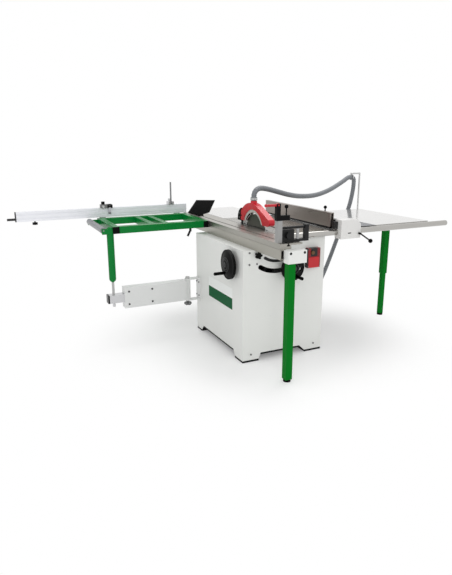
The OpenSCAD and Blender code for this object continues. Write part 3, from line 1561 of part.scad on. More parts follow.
module rip_head() {
    color(white_paint) difference() {
        union() {
            face_plate([-head_front, -head_back]) polygon([[head_x[0], head_low], [head_x[0], head_top],
                [head_x[1] - head_corner, head_top], [head_x[1], head_top - head_corner], [head_x[1],
                    head_low]]);
            block([arm_left_x, arm_left_x + head_arm_w], above(-head_back - over, head_arm_len),
                above(table_h + rip_gap, head_arm_h));
            block([rip_x, head_x[0]], front_clamp_y, front_clamp_z);
            block([head_x[1] - over, head_x[1] + wing_w], above(-head_back - wing_lap, wing_d),
                above(table_h + wing_gap, wing_t));
        }
        rod_x([arm_left_x - over, arm_left_x + head_arm_w + over], fence_lever_y, fence_lever_z,
            lever_rod_r + run_gap);
        rod_x([head_x[0] - over, head_x[1] + over], -rail_front, rail_z, rail_r + move_gap);
        rod_y(rip_lever_x, [-head_front - over, rip_lever_y + lever_boss_r], rip_lever_z,
            lever_boss_r + run_gap);
    }
}
module rip_fence() {
    x = above(rip_x, rip_t);
    y = above(-rip_near, rip_len);
    color(bare_metal) difference() {
        block(x, y, rip_z);
        block([x[0] + cross_wall, x[1] - cross_wall], [y[0] - over, y[1] + over],
            [rip_z[0] + cross_wall, rip_z[1] - cross_wall]);
    }
}
module rip_lever() {
    ball = [rip_lever_x + lever_reach, rip_lever_z - lever_fall];
    y = -head_front - rip_ball_r - rip_ball_gap;
    color(black_part) {
        rod_y(rip_lever_x, [y - lever_rod_r, rip_lever_y], rip_lever_z, lever_boss_r);
        translate([rip_lever_x, y, rip_lever_z]) rotate([0, atan2(lever_reach, -lever_fall), 0])
            cylinder(r = lever_rod_r, h = norm([lever_reach, lever_fall]));
        translate([ball[0], y, ball[1]]) sphere(r = rip_ball_r);
    }
}

module fence_lever() {
    x = arm_left_x + head_arm_w + move_gap;
    color(black_part) {
        rod_x([arm_left_x + move_gap, x], fence_lever_y, fence_lever_z, lever_rod_r);
        rod_x(above(x, fence_lever_w), fence_lever_y, fence_lever_z, fence_lever_r);
        rod_z(x + fence_lever_w / 2, fence_lever_y, above(fence_lever_z, fence_lever_len),
            lever_rod_r - move_gap);
        translate([x + fence_lever_w / 2, fence_lever_y, fence_lever_z + fence_lever_len])
            sphere(r = ball_r);
    }
}

// Star knob on the front of the cabinet

star_x = -214;
star_drop = 32;
star_z = base_z[0] - star_drop;
star_shank_r = 6;
star_r = 20;
star_lobe_r = 8;
star_lobe_n = 5;
star_t = 20;
star_stand = 12;
star_shank = 50;
module star_knob() {
    y = [-half_d - star_stand - star_t, -half_d - star_stand];
    color(black_part) {
        rod_y(star_x, y, star_z, star_r - star_lobe_r / 2);
        for (k = [0 : star_lobe_n - 1])
            rod_y(star_x + (star_r - star_lobe_r / 2) * cos(360 * k / star_lobe_n), y,
                star_z + (star_r - star_lobe_r / 2) * sin(360 * k / star_lobe_n), star_lobe_r);
        rod_y(star_x, [y[1] - over, -half_d + star_shank], star_z, star_shank_r);
    }
}

cabinet_shell();
cabinet_base();
saw_table();
table_insert();
right_extension();
rear_extension();
front_rail();
carriage_base();
base_end_plate();
front_leg();
right_leg();
switch_box();
trunnion_brackets();
dust_port();
hose_rod();
arm_bracket();
machine_bolts();
dust_hose();
trunnion_frame();
lift_carriage();
motor();
riving_knife();
drive_belt();
arbor_shaft();
saw_blade();
arbor_nut();
motor_pulley();
guard_hood();
guard_skirt();
guard_holder();
height_wheel();
height_grip();
lift_screw();
tilt_wheel();
tilt_grip();
tilt_nut();
carriage_table();
edging_shoe();
clamp_base();
clamp_arm();
clamp_lever();
clamp_knob();
outrigger_frame();
loading_roller();
crosscut_fence();
fence_extension();
extension_knob();
left_stop_block();
left_stop_arm();
right_stop_block();
right_stop_arm();
swing_arm();
inner_arm();
rip_head();
rip_fence();
rip_lever();
fence_lever();
star_knob();
start_button();
stop_flap();
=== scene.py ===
import math

import bmesh
import bpy
from mathutils import Matrix, Vector


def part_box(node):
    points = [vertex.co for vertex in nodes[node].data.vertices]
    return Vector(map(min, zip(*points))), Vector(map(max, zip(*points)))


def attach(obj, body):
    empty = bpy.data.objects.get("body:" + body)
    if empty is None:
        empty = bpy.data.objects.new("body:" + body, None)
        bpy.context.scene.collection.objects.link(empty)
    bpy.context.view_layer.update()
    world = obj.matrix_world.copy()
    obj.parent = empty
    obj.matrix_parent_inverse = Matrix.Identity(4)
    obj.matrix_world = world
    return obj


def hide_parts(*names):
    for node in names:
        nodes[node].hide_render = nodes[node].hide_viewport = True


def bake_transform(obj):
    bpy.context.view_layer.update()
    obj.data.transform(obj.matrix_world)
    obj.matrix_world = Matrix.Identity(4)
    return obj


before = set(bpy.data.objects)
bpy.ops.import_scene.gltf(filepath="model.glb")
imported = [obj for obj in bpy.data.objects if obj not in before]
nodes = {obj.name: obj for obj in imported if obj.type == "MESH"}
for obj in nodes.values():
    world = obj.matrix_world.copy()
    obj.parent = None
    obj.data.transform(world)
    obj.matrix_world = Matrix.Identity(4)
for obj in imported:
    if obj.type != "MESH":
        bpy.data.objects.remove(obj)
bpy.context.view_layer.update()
scene = bpy.context.scene
scene.view_settings.view_transform = "Standard"
print("frame loaded:", len(nodes), "nodes")

# camera at the photograph's angle
cameraSet = {"place": (-1.831, -3.368, 1.455), "pitch": 75.2, "turn": -25.6, "lens": 33.226,
             "shift": (-0.00696, -0.0106)}
camData = bpy.data.cameras.new("sawCamera")
camData.sensor_width = 36
camData.lens = cameraSet["lens"]
camData.shift_x, camData.shift_y = cameraSet["shift"]
camera = bpy.data.objects.new("sawCamera", camData)
camera.location = cameraSet["place"]
camera.rotation_euler = (math.radians(cameraSet["pitch"]), 0, math.radians(cameraSet["turn"]))
scene.collection.objects.link(camera)
scene.camera = camera


# shader sockets with arithmetic

class Wire:
    def __init__(self, tree, socket=None):
        self.tree = tree
        self.socket = socket

    def make(self, kind, settings=None, sockets=None, out=0):
        node = self.tree.nodes.new(kind)
        for name, value in (settings or {}).items():
            setattr(node, name, value)
        for key, value in (sockets or {}).items():
            if isinstance(value, Wire):
                self.tree.links.new(value.socket, node.inputs[key])
            else:
                node.inputs[key].default_value = value
        return Wire(self.tree, node.outputs[out] if node.outputs else None)

    def calc(self, operation, *values):
        return self.make("ShaderNodeMath", {"operation": operation}, dict(enumerate(values)))

    def __add__(self, other):
        return self.calc("ADD", self, other)

    def __radd__(self, other):
        return self.calc("ADD", other, self)

    def __sub__(self, other):
        return self.calc("SUBTRACT", self, other)

    def __rsub__(self, other):
        return self.calc("SUBTRACT", other, self)

    def __mul__(self, other):
        return self.calc("MULTIPLY", self, other)

    def __rmul__(self, other):
        return self.calc("MULTIPLY", other, self)

    def __truediv__(self, other):
        return self.calc("DIVIDE", self, other)

    def __rtruediv__(self, other):
        return self.calc("DIVIDE", other, self)

    def __gt__(self, other):
        return self.calc("GREATER_THAN", self, other)

    def __lt__(self, other):
        return self.calc("LESS_THAN", self, other)


def tint(red, green, blue):  # a screen colour as the shader's own numbers
    def one(v):
        v /= 255
        return v / 12.92 if v <= 0.04045 else ((v + 0.055) / 1.055) ** 2.4
    return (one(red), one(green), one(blue), 1)


def shade(colour, share):
    return tuple(min(1, c * share) for c in colour[:3]) + (1,)


def newFinish(name):
    material = bpy.data.materials.new(name)
    material.use_nodes = True
    material.node_tree.nodes.clear()
    return material, Wire(material.node_tree)


def place(w, scale=(1, 1, 1), turn=(0, 0, 0)):  # Object coordinates through a Mapping node
    at = w.make("ShaderNodeTexCoord", out=3)
    return w.make("ShaderNodeMapping", {}, {"Vector": at, "Scale": scale, "Rotation": turn})


def noise(w, at, scale, detail=3.0, rough=0.5):
    return w.make("ShaderNodeTexNoise", {}, {"Vector": at, "Scale": scale, "Detail": detail,
                                             "Roughness": rough})


def mixColour(w, factor, first, second):
    return w.make("ShaderNodeMix", {"data_type": "RGBA"}, {0: factor, 6: first, 7: second}, 2)


def axisOf(w, at, index):
    return w.make("ShaderNodeSeparateXYZ", {}, {0: at}, index)


def inBox(w, low, high):  # 1 inside a box in the machine's frame
    at = w.make("ShaderNodeTexCoord", out=3)
    mask = None
    for k in range(3):
        v = axisOf(w, at, k)
        tests = [] if low[k] is None else [v > low[k]]
        tests += [] if high[k] is None else [v < high[k]]
        for test in tests:
            mask = test if mask is None else mask * test
    return mask


def closeFinish(material, w, sockets, height=None, strength=0.2, depth=0.001, fixed=None):
    if height is not None:
        sockets["Normal"] = w.make("ShaderNodeBump", {}, {"Height": height, "Strength": strength,
                                                          "Distance": depth})
    sockets.update(fixed or {})
    skin = w.make("ShaderNodeBsdfPrincipled", {}, sockets)
    w.make("ShaderNodeOutputMaterial", {}, {"Surface": skin})
    return material


def marked(w, base, marks):  # other colours inside boxes
    for low, high, other in marks or []:
        base = mixColour(w, inBox(w, low, high), base, other)
    return base


paintSet = {"cloud": 2.3, "grain": 640.0, "scuff": 31.0, "worn": 0.66, "wear": 0.12, "wornShade": 0.72,
            "roughSpread": 0.12, "peelDepth": 0.0006, "coatRough": 0.08}


def paintFinish(name, colour, rough, coat=0.0, peel=0.10, spread=0.05, marks=None, gloss=0.4):
    material, w = newFinish(name)
    at = place(w)
    cloud = noise(w, at, paintSet["cloud"], 2.0)
    grain = noise(w, at, paintSet["grain"], 2.0)
    scuff = noise(w, at, paintSet["scuff"], 5.0, 0.65)
    base = mixColour(w, cloud, shade(colour, 1 - spread), shade(colour, 1 + spread))
    worn = (scuff > paintSet["worn"]) * paintSet["wear"]
    base = mixColour(w, worn, base, shade(colour, paintSet["wornShade"]))
    base = marked(w, base, marks)
    uneven = rough - paintSet["roughSpread"] / 2 + paintSet["roughSpread"] * scuff
    fixed = {"Coat Weight": coat, "Coat Roughness": paintSet["coatRough"], "Specular IOR Level": gloss}
    return closeFinish(material, w, {"Base Color": base, "Roughness": uneven}, grain, peel,
                       paintSet["peelDepth"], fixed)


plasticSet = {"rub": 18.0, "shades": (0.86, 1.16), "roughSpread": 0.16, "grainHeight": 0.0004}


def plasticFinish(name, colour, rough, grainScale=900.0, grainDepth=0.25, marks=None, gloss=0.07):
    material, w = newFinish(name)
    at = place(w)
    grain = noise(w, at, grainScale, 2.0)
    rub = noise(w, at, plasticSet["rub"], 4.0, 0.6)
    base = mixColour(w, rub, *[shade(colour, share) for share in plasticSet["shades"]])
    base = marked(w, base, marks)
    uneven = rough - plasticSet["roughSpread"] / 2 + plasticSet["roughSpread"] * rub
    return closeFinish(material, w, {"Base Color": base, "Roughness": uneven}, grain, grainDepth,
                       plasticSet["grainHeight"], {"Specular IOR Level": gloss})


metalSet = {"stretch": 0.02, "broad": 5.0, "stain": 0.5, "stainShade": 0.86, "roughSpread": 0.14,
            "lineHeight": 0.0003}


def metalFinish(name, colour, rough, along, metal=1.0, streak=0.10, lines=0.12, scale=260.0, marks=None):
    material, w = newFinish(name)
    stretch = tuple(metalSet["stretch"] if k == along else 1.0 for k in range(3))  # lines run along one axis
    fine = noise(w, place(w, stretch), scale, 4.0, 0.6)
    broad = noise(w, place(w), metalSet["broad"], 4.0, 0.6)
    base = mixColour(w, fine, shade(colour, 1 - streak), shade(colour, 1 + streak))
    base = mixColour(w, broad * metalSet["stain"], base, shade(colour, metalSet["stainShade"]))
    base = marked(w, base, marks)
    uneven = rough - metalSet["roughSpread"] / 2 + metalSet["roughSpread"] * fine
    return closeFinish(material, w, {"Base Color": base, "Roughness": uneven}, fine, lines,
                       metalSet["lineHeight"], {"Metallic": metal})


white, green, red = tint(222, 223, 220), tint(4, 112, 30), tint(196, 22, 40)
black, dark = tint(11, 11, 11), tint(28, 28, 29)
steel, zinc = tint(176, 176, 175), tint(206, 206, 208)


def beyond(axis, side, limit, colour):  # a mark past one limit on one axis
    low, high = [None] * 3, [None] * 3
    (low if side > 0 else high)[axis] = limit
    return low, high, colour


cabinetPaint = paintFinish("cabinetPaint", white, 0.40, 0.10)
armPaint = paintFinish("armPaint", tint(217, 218, 217), 0.38, 0.15, marks=[beyond(1, -1, 0.3237, dark)])
bracketPaint = paintFinish("bracketPaint", tint(217, 218, 217), 0.38, 0.15,
                           marks=[beyond(2, -1, 0.2537, steel), beyond(2, 1, 0.4303, steel)])
wingSet = {"x": 0.5555, "top": 0.876, "edge": -0.411}  # dark plate beside the fence head, with a black edge
headPaint = paintFinish("headPaint", tint(219, 218, 216), 0.36, 0.2, marks=[
    beyond(0, -1, 0.3895, black), beyond(1, 1, -0.4075, black),
    ((wingSet["x"], None, None), (None, None, wingSet["top"]), tint(66, 68, 76)),
    ((wingSet["x"], None, None), (None, wingSet["edge"], wingSet["top"]), black)])
framePaint = paintFinish("framePaint", tint(0, 116, 46), 0.28, 0.06, 0.06, 0.08, gloss=0.12, marks=[
    beyond(2, -1, 0.4660, steel), ((-0.42, 0.345, None), (-0.365, 0.375, 0.8195), black)])
legPaint = paintFinish("legPaint", green, 0.42, 0.0, 0.06, 0.08, gloss=0.04,
                       marks=[beyond(2, -1, 0.016, black)])
hoodPlastic = plasticFinish("hoodPlastic", red, 0.30, 700.0, 0.08, gloss=0.45)
switchPlastic = plasticFinish("switchPlastic", tint(128, 14, 24), 0.34, 700.0, 0.10, gloss=0.4, marks=[
    beyond(0, -1, 0.1586, tint(14, 10, 11)), ((0.181, None, 0.7), (0.233, None, None), tint(16, 12, 12))])
flapPlastic = plasticFinish("flapPlastic", tint(186, 24, 34), 0.32, 700.0, 0.10, gloss=0.45)
leverPlastic = plasticFinish("leverPlastic", tint(178, 20, 34), 0.34, gloss=0.4)
mouldedBlack = plasticFinish("mouldedBlack", black, 0.46)
shoePaint = plasticFinish("shoePaint", tint(2, 2, 2), 0.62, 420.0, 0.1, gloss=0.04)
satinBlack = plasticFinish("satinBlack", tint(6, 6, 6), 0.38, 500.0, 0.12)
castBlack = plasticFinish("castBlack", tint(15, 15, 16), 0.50, 380.0, 0.4)
clampCast = plasticFinish("clampCast", tint(13, 13, 14), 0.48, 380.0, 0.3, gloss=0.3, marks=[
    ((None, None, None), (-0.2099, None, 1.0024), tint(150, 150, 149)),
    ((-0.1015, None, 0.8845), (-0.0825, None, 0.9480), tint(168, 168, 168))])
basePaint = plasticFinish("basePaint", tint(24, 24, 25), 0.5, 480.0, 0.2)
startPlastic = plasticFinish("startPlastic", tint(96, 66, 34), 0.32, gloss=0.4)
beltRubber = plasticFinish("beltRubber", tint(22, 22, 23), 0.72, 320.0, 0.5)
hosePlastic = plasticFinish("hosePlastic", tint(116, 119, 123), 0.42, 260.0, 0.10, gloss=0.35)
cuffPlastic = plasticFinish("cuffPlastic", tint(128, 130, 132), 0.36, gloss=0.4)
skirtPlastic = plasticFinish("skirtPlastic", tint(188, 186, 180), 0.26, 600.0, 0.04, gloss=0.45)
tableIron = metalFinish("tableIron", tint(146, 143, 136), 0.26, 1, 0.92, 0.08)
leafSheet = metalFinish("leafSheet", tint(214, 213, 211), 0.16, 1, 0.75, 0.04, 0.05)
insertSteel = metalFinish("insertSteel", tint(150, 149, 146), 0.30, 1)
railChrome = metalFinish("railChrome", tint(182, 180, 176), 0.14, 0, 1.0, 0.04, 0.05)
slideAluminium = metalFinish("slideAluminium", tint(166, 163, 156), 0.34, 1, 0.9, 0.05)
baseAluminium = metalFinish("baseAluminium", tint(172, 169, 161), 0.36, 1, 0.85, 0.06)
# crosscut fence painted lighter than the fence extension's same aluminium: painted light to lift the shade
# the outrigger frame casts on it
fenceAluminiumLit = metalFinish("fenceAluminiumLit", tint(240, 241, 246), 0.38, 0, 0.1, 0.03)
extensionAluminium = metalFinish("extensionAluminium", tint(232, 233, 238), 0.38, 0, 0.1, 0.03,
                                 marks=[beyond(0, -1, -1.5652, dark)])
# black strip along the bottom of the rip fence: painted shade of the gap between fence and table
ripAluminium = metalFinish("ripAluminium", tint(158, 150, 144), 0.30, 1, 0.85, 0.06,
                           marks=[beyond(2, -1, 0.8845, black)])
brightSteel = metalFinish("brightSteel", tint(196, 196, 195), 0.26, 2)
boltSteel = metalFinish("boltSteel", tint(120, 120, 121), 0.38, 2)
darkBolt = metalFinish("darkBolt", tint(40, 40, 41), 0.42, 2, 0.7)
greyIron = metalFinish("greyIron", tint(112, 113, 114), 0.55, 2, 0.35, 0.06, 0.3, 90.0)
motorPaint = paintFinish("motorPaint", tint(96, 104, 110), 0.42, 0.1, 0.2)
# saw blade painted dark grey instead of bright steel: painted shade of the blade inside the guard hood
bladeSteelShaded = metalFinish("bladeSteelShaded", tint(96, 96, 90), 0.34, 1)
stopCast = plasticFinish("stopCast", tint(120, 120, 120), 0.42, 380.0, 0.3, marks=[
    beyond(2, 1, 0.9716, black), beyond(0, 1, -0.891, black)])
stopAluminium = metalFinish("stopAluminium", tint(200, 198, 206), 0.36, 2, 0.2, 0.05, marks=[
    beyond(2, 1, 0.949, black), beyond(2, -1, 0.913, tint(120, 118, 124))])
stopSteel = metalFinish("stopSteel", tint(134, 134, 136), 0.42, 0, 0.35, 0.05)
tubeZinc = metalFinish("tubeZinc", zinc, 0.30, 0, 0.8, 0.05)
rollerSteel = metalFinish("rollerSteel", tint(138, 140, 142), 0.34, 1, 0.8, 0.05)
innerZinc = metalFinish("innerZinc", zinc, 0.30, 0, 0.8, 0.05, marks=[beyond(0, -1, -1.023, dark)])
print("finishes made")

finishOf = {
    "cabinet_shell": cabinetPaint, "cabinet_base": basePaint, "saw_table": tableIron,
    "table_insert": insertSteel, "right_extension": leafSheet, "rear_extension": leafSheet,
    "front_rail": railChrome, "carriage_base": baseAluminium, "base_end_plate": cabinetPaint,
    "front_leg": legPaint, "right_leg": legPaint, "switch_box": switchPlastic, "trunnion_brackets": greyIron,
    "dust_port": mouldedBlack, "hose_rod": brightSteel, "arm_bracket": bracketPaint,
    "machine_bolts": boltSteel, "dust_hose": hosePlastic, "trunnion_frame": greyIron,
    "lift_carriage": greyIron, "motor": motorPaint, "riving_knife": brightSteel,
    "drive_belt": beltRubber, "arbor_shaft": brightSteel, "saw_blade": bladeSteelShaded,
    "arbor_nut": brightSteel, "motor_pulley": brightSteel, "guard_hood": hoodPlastic,
    "guard_skirt": skirtPlastic, "guard_holder": mouldedBlack, "height_wheel": mouldedBlack,
    "height_grip": satinBlack, "lift_screw": brightSteel, "tilt_wheel": mouldedBlack, "tilt_grip": satinBlack,
    "tilt_nut": brightSteel, "carriage_table": slideAluminium, "edging_shoe": shoePaint,
    "clamp_base": clampCast, "clamp_arm": castBlack, "clamp_lever": leverPlastic, "clamp_knob": satinBlack,
    "outrigger_frame": framePaint, "loading_roller": rollerSteel, "crosscut_fence": fenceAluminiumLit,
    "fence_extension": extensionAluminium, "extension_knob": mouldedBlack, "left_stop_block": stopCast,
    "left_stop_arm": stopAluminium, "right_stop_block": tubeZinc, "right_stop_arm": stopSteel,
    "swing_arm": armPaint, "inner_arm": innerZinc, "rip_head": headPaint, "rip_fence": ripAluminium,
    "rip_lever": satinBlack, "fence_lever": satinBlack, "star_knob": mouldedBlack,
    "start_button": startPlastic, "stop_flap": flapPlastic,
}
for nodeName, finish in finishOf.items():
    for slot in nodes[nodeName].material_slots:
        slot.material = finish
print("finishes set on", len(finishOf), "nodes")


# Geometry Nodes trees, built in the script

def newTree(name, inputs):
    tree = bpy.data.node_groups.new(name, "GeometryNodeTree")
    tree.interface.new_socket("Geometry", in_out="INPUT", socket_type="NodeSocketGeometry")
    ids = {}
    for label, kind in inputs.items():
        ids[label] = tree.interface.new_socket(label, in_out="INPUT", socket_type=kind).identifier
    tree.interface.new_socket("Geometry", in_out="OUTPUT", socket_type="NodeSocketGeometry")
    return tree, ids, tree.nodes.new("NodeGroupInput"), tree.nodes.new("NodeGroupOutput")


def treeNode(tree, kind, settings=None, sockets=None):
    node = tree.nodes.new(kind)
    for name, value in (settings or {}).items():
        setattr(node, name, value)
    for key, value in (sockets or {}).items():
        if isinstance(value, bpy.types.NodeSocket):
            tree.links.new(value, node.inputs[key])
        else:
            node.inputs[key].default_value = value
    return node


def treeMath(tree, operation, *values):
    return treeNode(tree, "ShaderNodeMath", {"operation": operation}, dict(enumerate(values))).outputs[0]


def closeTree(tree, shape, treeIn, treeOut):  # every tree ends in real geometry with its finish
    solid = treeNode(tree, "GeometryNodeRealizeInstances", {}, {0: shape})
    coat = treeNode(tree, "GeometryNodeSetMaterial", {},
                    {"Geometry": solid.outputs[0], "Material": treeIn.outputs["Finish"]})
    tree.links.new(coat.outputs[0], treeOut.inputs[0])


def holderOf(name, data):
    holder = bpy.data.objects.new(name, data)
    scene.collection.objects.link(holder)
    return holder


def bakeTree(name, holder, tree, ids, values, body=None, at=(0, 0, 0)):
    modifier = holder.modifiers.new("shape", "NODES")
    modifier.node_group = tree
    for label, value in values.items():
        modifier[ids[label]] = value
    bpy.context.view_layer.update()
    graph = bpy.context.evaluated_depsgraph_get()
    mesh = bpy.data.meshes.new_from_object(holder.evaluated_get(graph), depsgraph=graph)
    mesh.name = name
    holder.modifiers.remove(modifier)
    mesh.transform(Matrix.Translation(at))
    piece = holderOf(name, mesh)
    bpy.data.objects.remove(holder)
    if body:
        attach(piece, body)
    return piece


# dust hose along its route

hoseSet = {"radius": 0.019, "ribs": 190, "rings": 6.0, "depth": 0.10, "sides": 20, "steps": 12,
           "tilts": (-0.06, -0.06, 1.105), "still": (0.25, 0.07, 1.085), "route": [  # route in mm
    (-60, -60, 1056), (-60, -60, 1074), (-59, -60, 1092), (-47, -55, 1115), (-18, -42, 1130), (22, -26, 1132),
    (100, 6, 1118), (213, 52, 1090), (330, 101, 1062), (453, 151, 1042), (608, 215, 1033), (743, 270, 1042),
    (883, 328, 1069), (1045, 395, 1118), (1125, 428, 1147), (1178, 448, 1150), (1212, 460, 1136),
    (1222, 465, 1105), (1222, 470, 1040), (1214, 480, 950), (1204, 500, 860), (1182, 525, 760),
    (1162, 550, 665), (1140, 560, 580), (1070, 560, 405), (1000, 560, 250), (930, 560, 140), (840, 560, 70),
    (720, 560, 36), (560, 545, 32), (440, 503, 70), (370, 466, 130), (320, 449, 163), (270, 445, 170),
    (220, 445, 170), (178, 445, 170)]}


def smoothRoute(points, steps):
    pts = [Vector(p) / 1000 for p in points]
    pts = [2 * pts[0] - pts[1]] + pts + [2 * pts[-1] - pts[-2]]
    line = []
    for k in range(1, len(pts) - 2):
        a, b, c, d = pts[k - 1:k + 3]
        for s in range(steps):
            t = s / steps
            line.append(0.5 * (2 * b + (c - a) * t + (2 * a - 5 * b + 4 * c - d) * t ** 2
                               + (3 * b - a - 3 * c + d) * t ** 3))
    return line + [pts[-2]]


def routeCurve(name, line):
    data = bpy.data.curves.new(name, "CURVE")
    data.dimensions = "3D"
    spline = data.splines.new("POLY")
    spline.points.add(len(line) - 1)
    for point, at in zip(spline.points, line):
        point.co = (*at, 1)
    return holderOf(name, data)


hoseTree, hoseIds, hoseIn, hoseOut = newTree("ribbedHose", {
    "Radius": "NodeSocketFloat", "Ribs": "NodeSocketInt", "Depth": "NodeSocketFloat",
    "Sides": "NodeSocketInt", "Finish": "NodeSocketMaterial"})
ringCount = treeMath(hoseTree, "MULTIPLY", hoseIn.outputs["Ribs"], hoseSet["rings"])
resample = treeNode(hoseTree, "GeometryNodeResampleCurve", {},
                    {"Curve": hoseIn.outputs["Geometry"], "Count": ringCount})
along = treeNode(hoseTree, "GeometryNodeSplineParameter")
turns = treeMath(hoseTree, "MULTIPLY", along.outputs["Factor"], hoseIn.outputs["Ribs"])
wave = treeMath(hoseTree, "COSINE", treeMath(hoseTree, "MULTIPLY", turns, 2 * math.pi))
dip = treeMath(hoseTree, "MULTIPLY", treeMath(hoseTree, "SUBTRACT", 1.0, wave), hoseIn.outputs["Depth"])
girth = treeMath(hoseTree, "SUBTRACT", 1.0, treeMath(hoseTree, "MULTIPLY", dip, 0.5))
ring = treeNode(hoseTree, "GeometryNodeCurvePrimitiveCircle", {},
                {"Resolution": hoseIn.outputs["Sides"], "Radius": hoseIn.outputs["Radius"]})
tube = treeNode(hoseTree, "GeometryNodeCurveToMesh", {}, {
    "Curve": resample.outputs[0], "Profile Curve": ring.outputs["Curve"], "Scale": girth, "Fill Caps": True})
smooth = treeNode(hoseTree, "GeometryNodeSetShadeSmooth", {}, {0: tube.outputs[0]})
closeTree(hoseTree, smooth.outputs[0], hoseIn, hoseOut)

hoseLine = smoothRoute(hoseSet["route"], hoseSet["steps"])
hoseLength = sum((b - a).length for a, b in zip(hoseLine, hoseLine[1:]))
dustHose = bakeTree("dustHose", routeCurve("hoseRoute", hoseLine), hoseTree, hoseIds,
                    {"Radius": hoseSet["radius"], "Ribs": hoseSet["ribs"], "Depth": hoseSet["depth"],
                     "Sides": hoseSet["sides"], "Finish": hosePlastic})
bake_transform(dustHose)
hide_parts("dust_hose")
print("hose", round(hoseLength, 3), "m")

# small makers for added pieces

def addPiece(name, bm, finish, body, smooth=0.0):
    bmesh.ops.recalc_face_normals(bm, faces=bm.faces)
    mesh = bpy.data.meshes.new(name)
    bm.to_mesh(mesh)
    bm.free()
    mesh.materials.append(finish)
    piece = holderOf(name, mesh)
    if smooth:
        mesh.shade_smooth()
        mesh.set_sharp_from_angle(angle=math.radians(smooth))
    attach(piece, body)


def softBox(bm, low, high, edge=0.002, steps=2):
    low, high = Vector(low), Vector(high)
    spot = Matrix.Translation((low + high) / 2) @ Matrix.Diagonal((*(high - low), 1))
    corners = bmesh.ops.create_cube(bm, size=1, matrix=spot)["verts"]
    edges = list({e for v in corners for e in v.link_edges})
    bmesh.ops.bevel(bm, geom=edges, offset=edge, segments=steps, affect="EDGES", profile=0.5)


def aimed(at, axis):  # moves a shape drawn along +Z to its place and axis
    return Matrix.Translation(at) @ Vector((0, 0, 1)).rotation_difference(Vector(axis)).to_matrix().to_4x4()


def turned(bm, profile, at, axis, steps=36):  # a profile of (radius, height) turned about an axis
    spot = aimed(at, axis)
    rings = []
    for radius, height in profile:
        if radius < 1e-6:
            rings.append([bm.verts.new(spot @ Vector((0, 0, height)))])
        else:
            angles = [2 * math.pi * k / steps for k in range(steps)]
            rings.append([bm.verts.new(spot @ Vector((radius * math.cos(a), radius * math.sin(a), height)))
                          for a in angles])
    for a, b in zip(rings, rings[1:]):
        for k in range(steps):
            n = (k + 1) % steps
            corners = [a[k % len(a)], a[n % len(a)], b[n % len(b)], b[k % len(b)]]
            kept = [v for i, v in enumerate(corners) if v not in corners[:i]]
            if len(kept) > 2:
                bm.faces.new(kept)


# rings as shares of a knob's radius and height
lobeSet = {"rings": ((0.80, 0.0), (1.0, 0.2), (1.0, 0.75), (0.86, 1.0)), "pinch": 1.6}


def lobed(bm, radius, dip, lobes, z, at, axis, steps=48):  # a knob with rounded lobes
    spot = aimed(at, axis)
    rings = []
    for share, rise in lobeSet["rings"]:
        height = z[0] + rise * (z[1] - z[0])
        ringNow = []
        for k in range(steps):
            a = 2 * math.pi * k / steps
            r = share * (radius - dip * (0.5 - 0.5 * math.cos(lobes * a)) ** lobeSet["pinch"])
            ringNow.append(bm.verts.new(spot @ Vector((r * math.cos(a), r * math.sin(a), height))))
        rings.append(ringNow)
    for a, b in zip(rings, rings[1:]):
        for k in range(steps):
            n = (k + 1) % steps
            bm.faces.new([a[k], a[n], b[n], b[k]])
    bm.faces.new(rings[0][::-1])
    bm.faces.new(rings[-1])


# hose cuffs, each with a band and a worm screw

cuffSet = {"radius": 0.0235, "inner": 0.0205, "mouth": 0.0215, "bead": 0.0008, "beadHigh": 0.004,
           "band": 0.0248, "bandWidth": 0.009, "bandSunk": 0.0005, "screwOut": 0.003,
           "screw": (0.0035, 0.010, 0.0055), "guard": 0.022, "port": 0.040}


def hoseCuff(name, at, axis, body, side, finish, h):
    r, inner, bead = cuffSet["radius"], cuffSet["inner"], cuffSet["beadHigh"]
    bm = bmesh.new()
    turned(bm, [(inner, 0), (r, 0), (r + cuffSet["bead"], bead), (r, 2 * bead), (r, h - bead),
                (cuffSet["mouth"], h), (inner, h), (inner, 0)], at, axis)
    addPiece(name, bm, finish, body, 40)
    bm = bmesh.new()
    foot, b, m = r - cuffSet["bandSunk"], cuffSet["band"], cuffSet["bandWidth"] / 2
    spot = Vector(at) + Vector(axis) * h * 0.5
    turned(bm, [(foot, -m), (b, -m), (b, m), (foot, m), (foot, -m)], spot, axis)
    reach = Vector(side)
    across = Vector(axis).cross(reach)
    box = spot + reach * (b + cuffSet["screwOut"])
    high, wide, deep = cuffSet["screw"]
    half = Vector([abs(reach[k]) * high + abs(across[k]) * wide + abs(axis[k]) * deep for k in range(3)])
    softBox(bm, box - half, box + half, 0.001)
    addPiece(name + "Band", bm, brightSteel, body, 30)


hoseCuff("guardCuff", (-0.060, -0.060, 1.054), (0, 0, 1), "guard", (0, -1, 0), cuffPlastic, cuffSet["guard"])
hoseCuff("portCuff", (0.215, 0.445, 0.170), (-1, 0, 0), "machine", (0, 1, 0), mouldedBlack, cuffSet["port"])

# black plugs in the ends of the outrigger's cross tubes
plugSet = {"left": (-0.975, -0.925), "right": (-0.280, -0.240), "ends": (0.335, 0.840), "z": (0.820, 0.870),
           "out": 0.006, "fit": 0.0005, "edge": 0.0025}
bm = bmesh.new()
for xs in (plugSet["left"], plugSet["right"]):
    for y, way in zip(plugSet["ends"], (-1, 1)):
        ys = sorted((y, y + way * plugSet["out"]))
        softBox(bm, (xs[0] + plugSet["fit"], ys[0], plugSet["z"][0] + plugSet["fit"]),
                (xs[1] - plugSet["fit"], ys[1], plugSet["z"][1] - plugSet["fit"]), plugSet["edge"], 3)
addPiece("tubePlugs", bm, satinBlack, "carriage", 40)

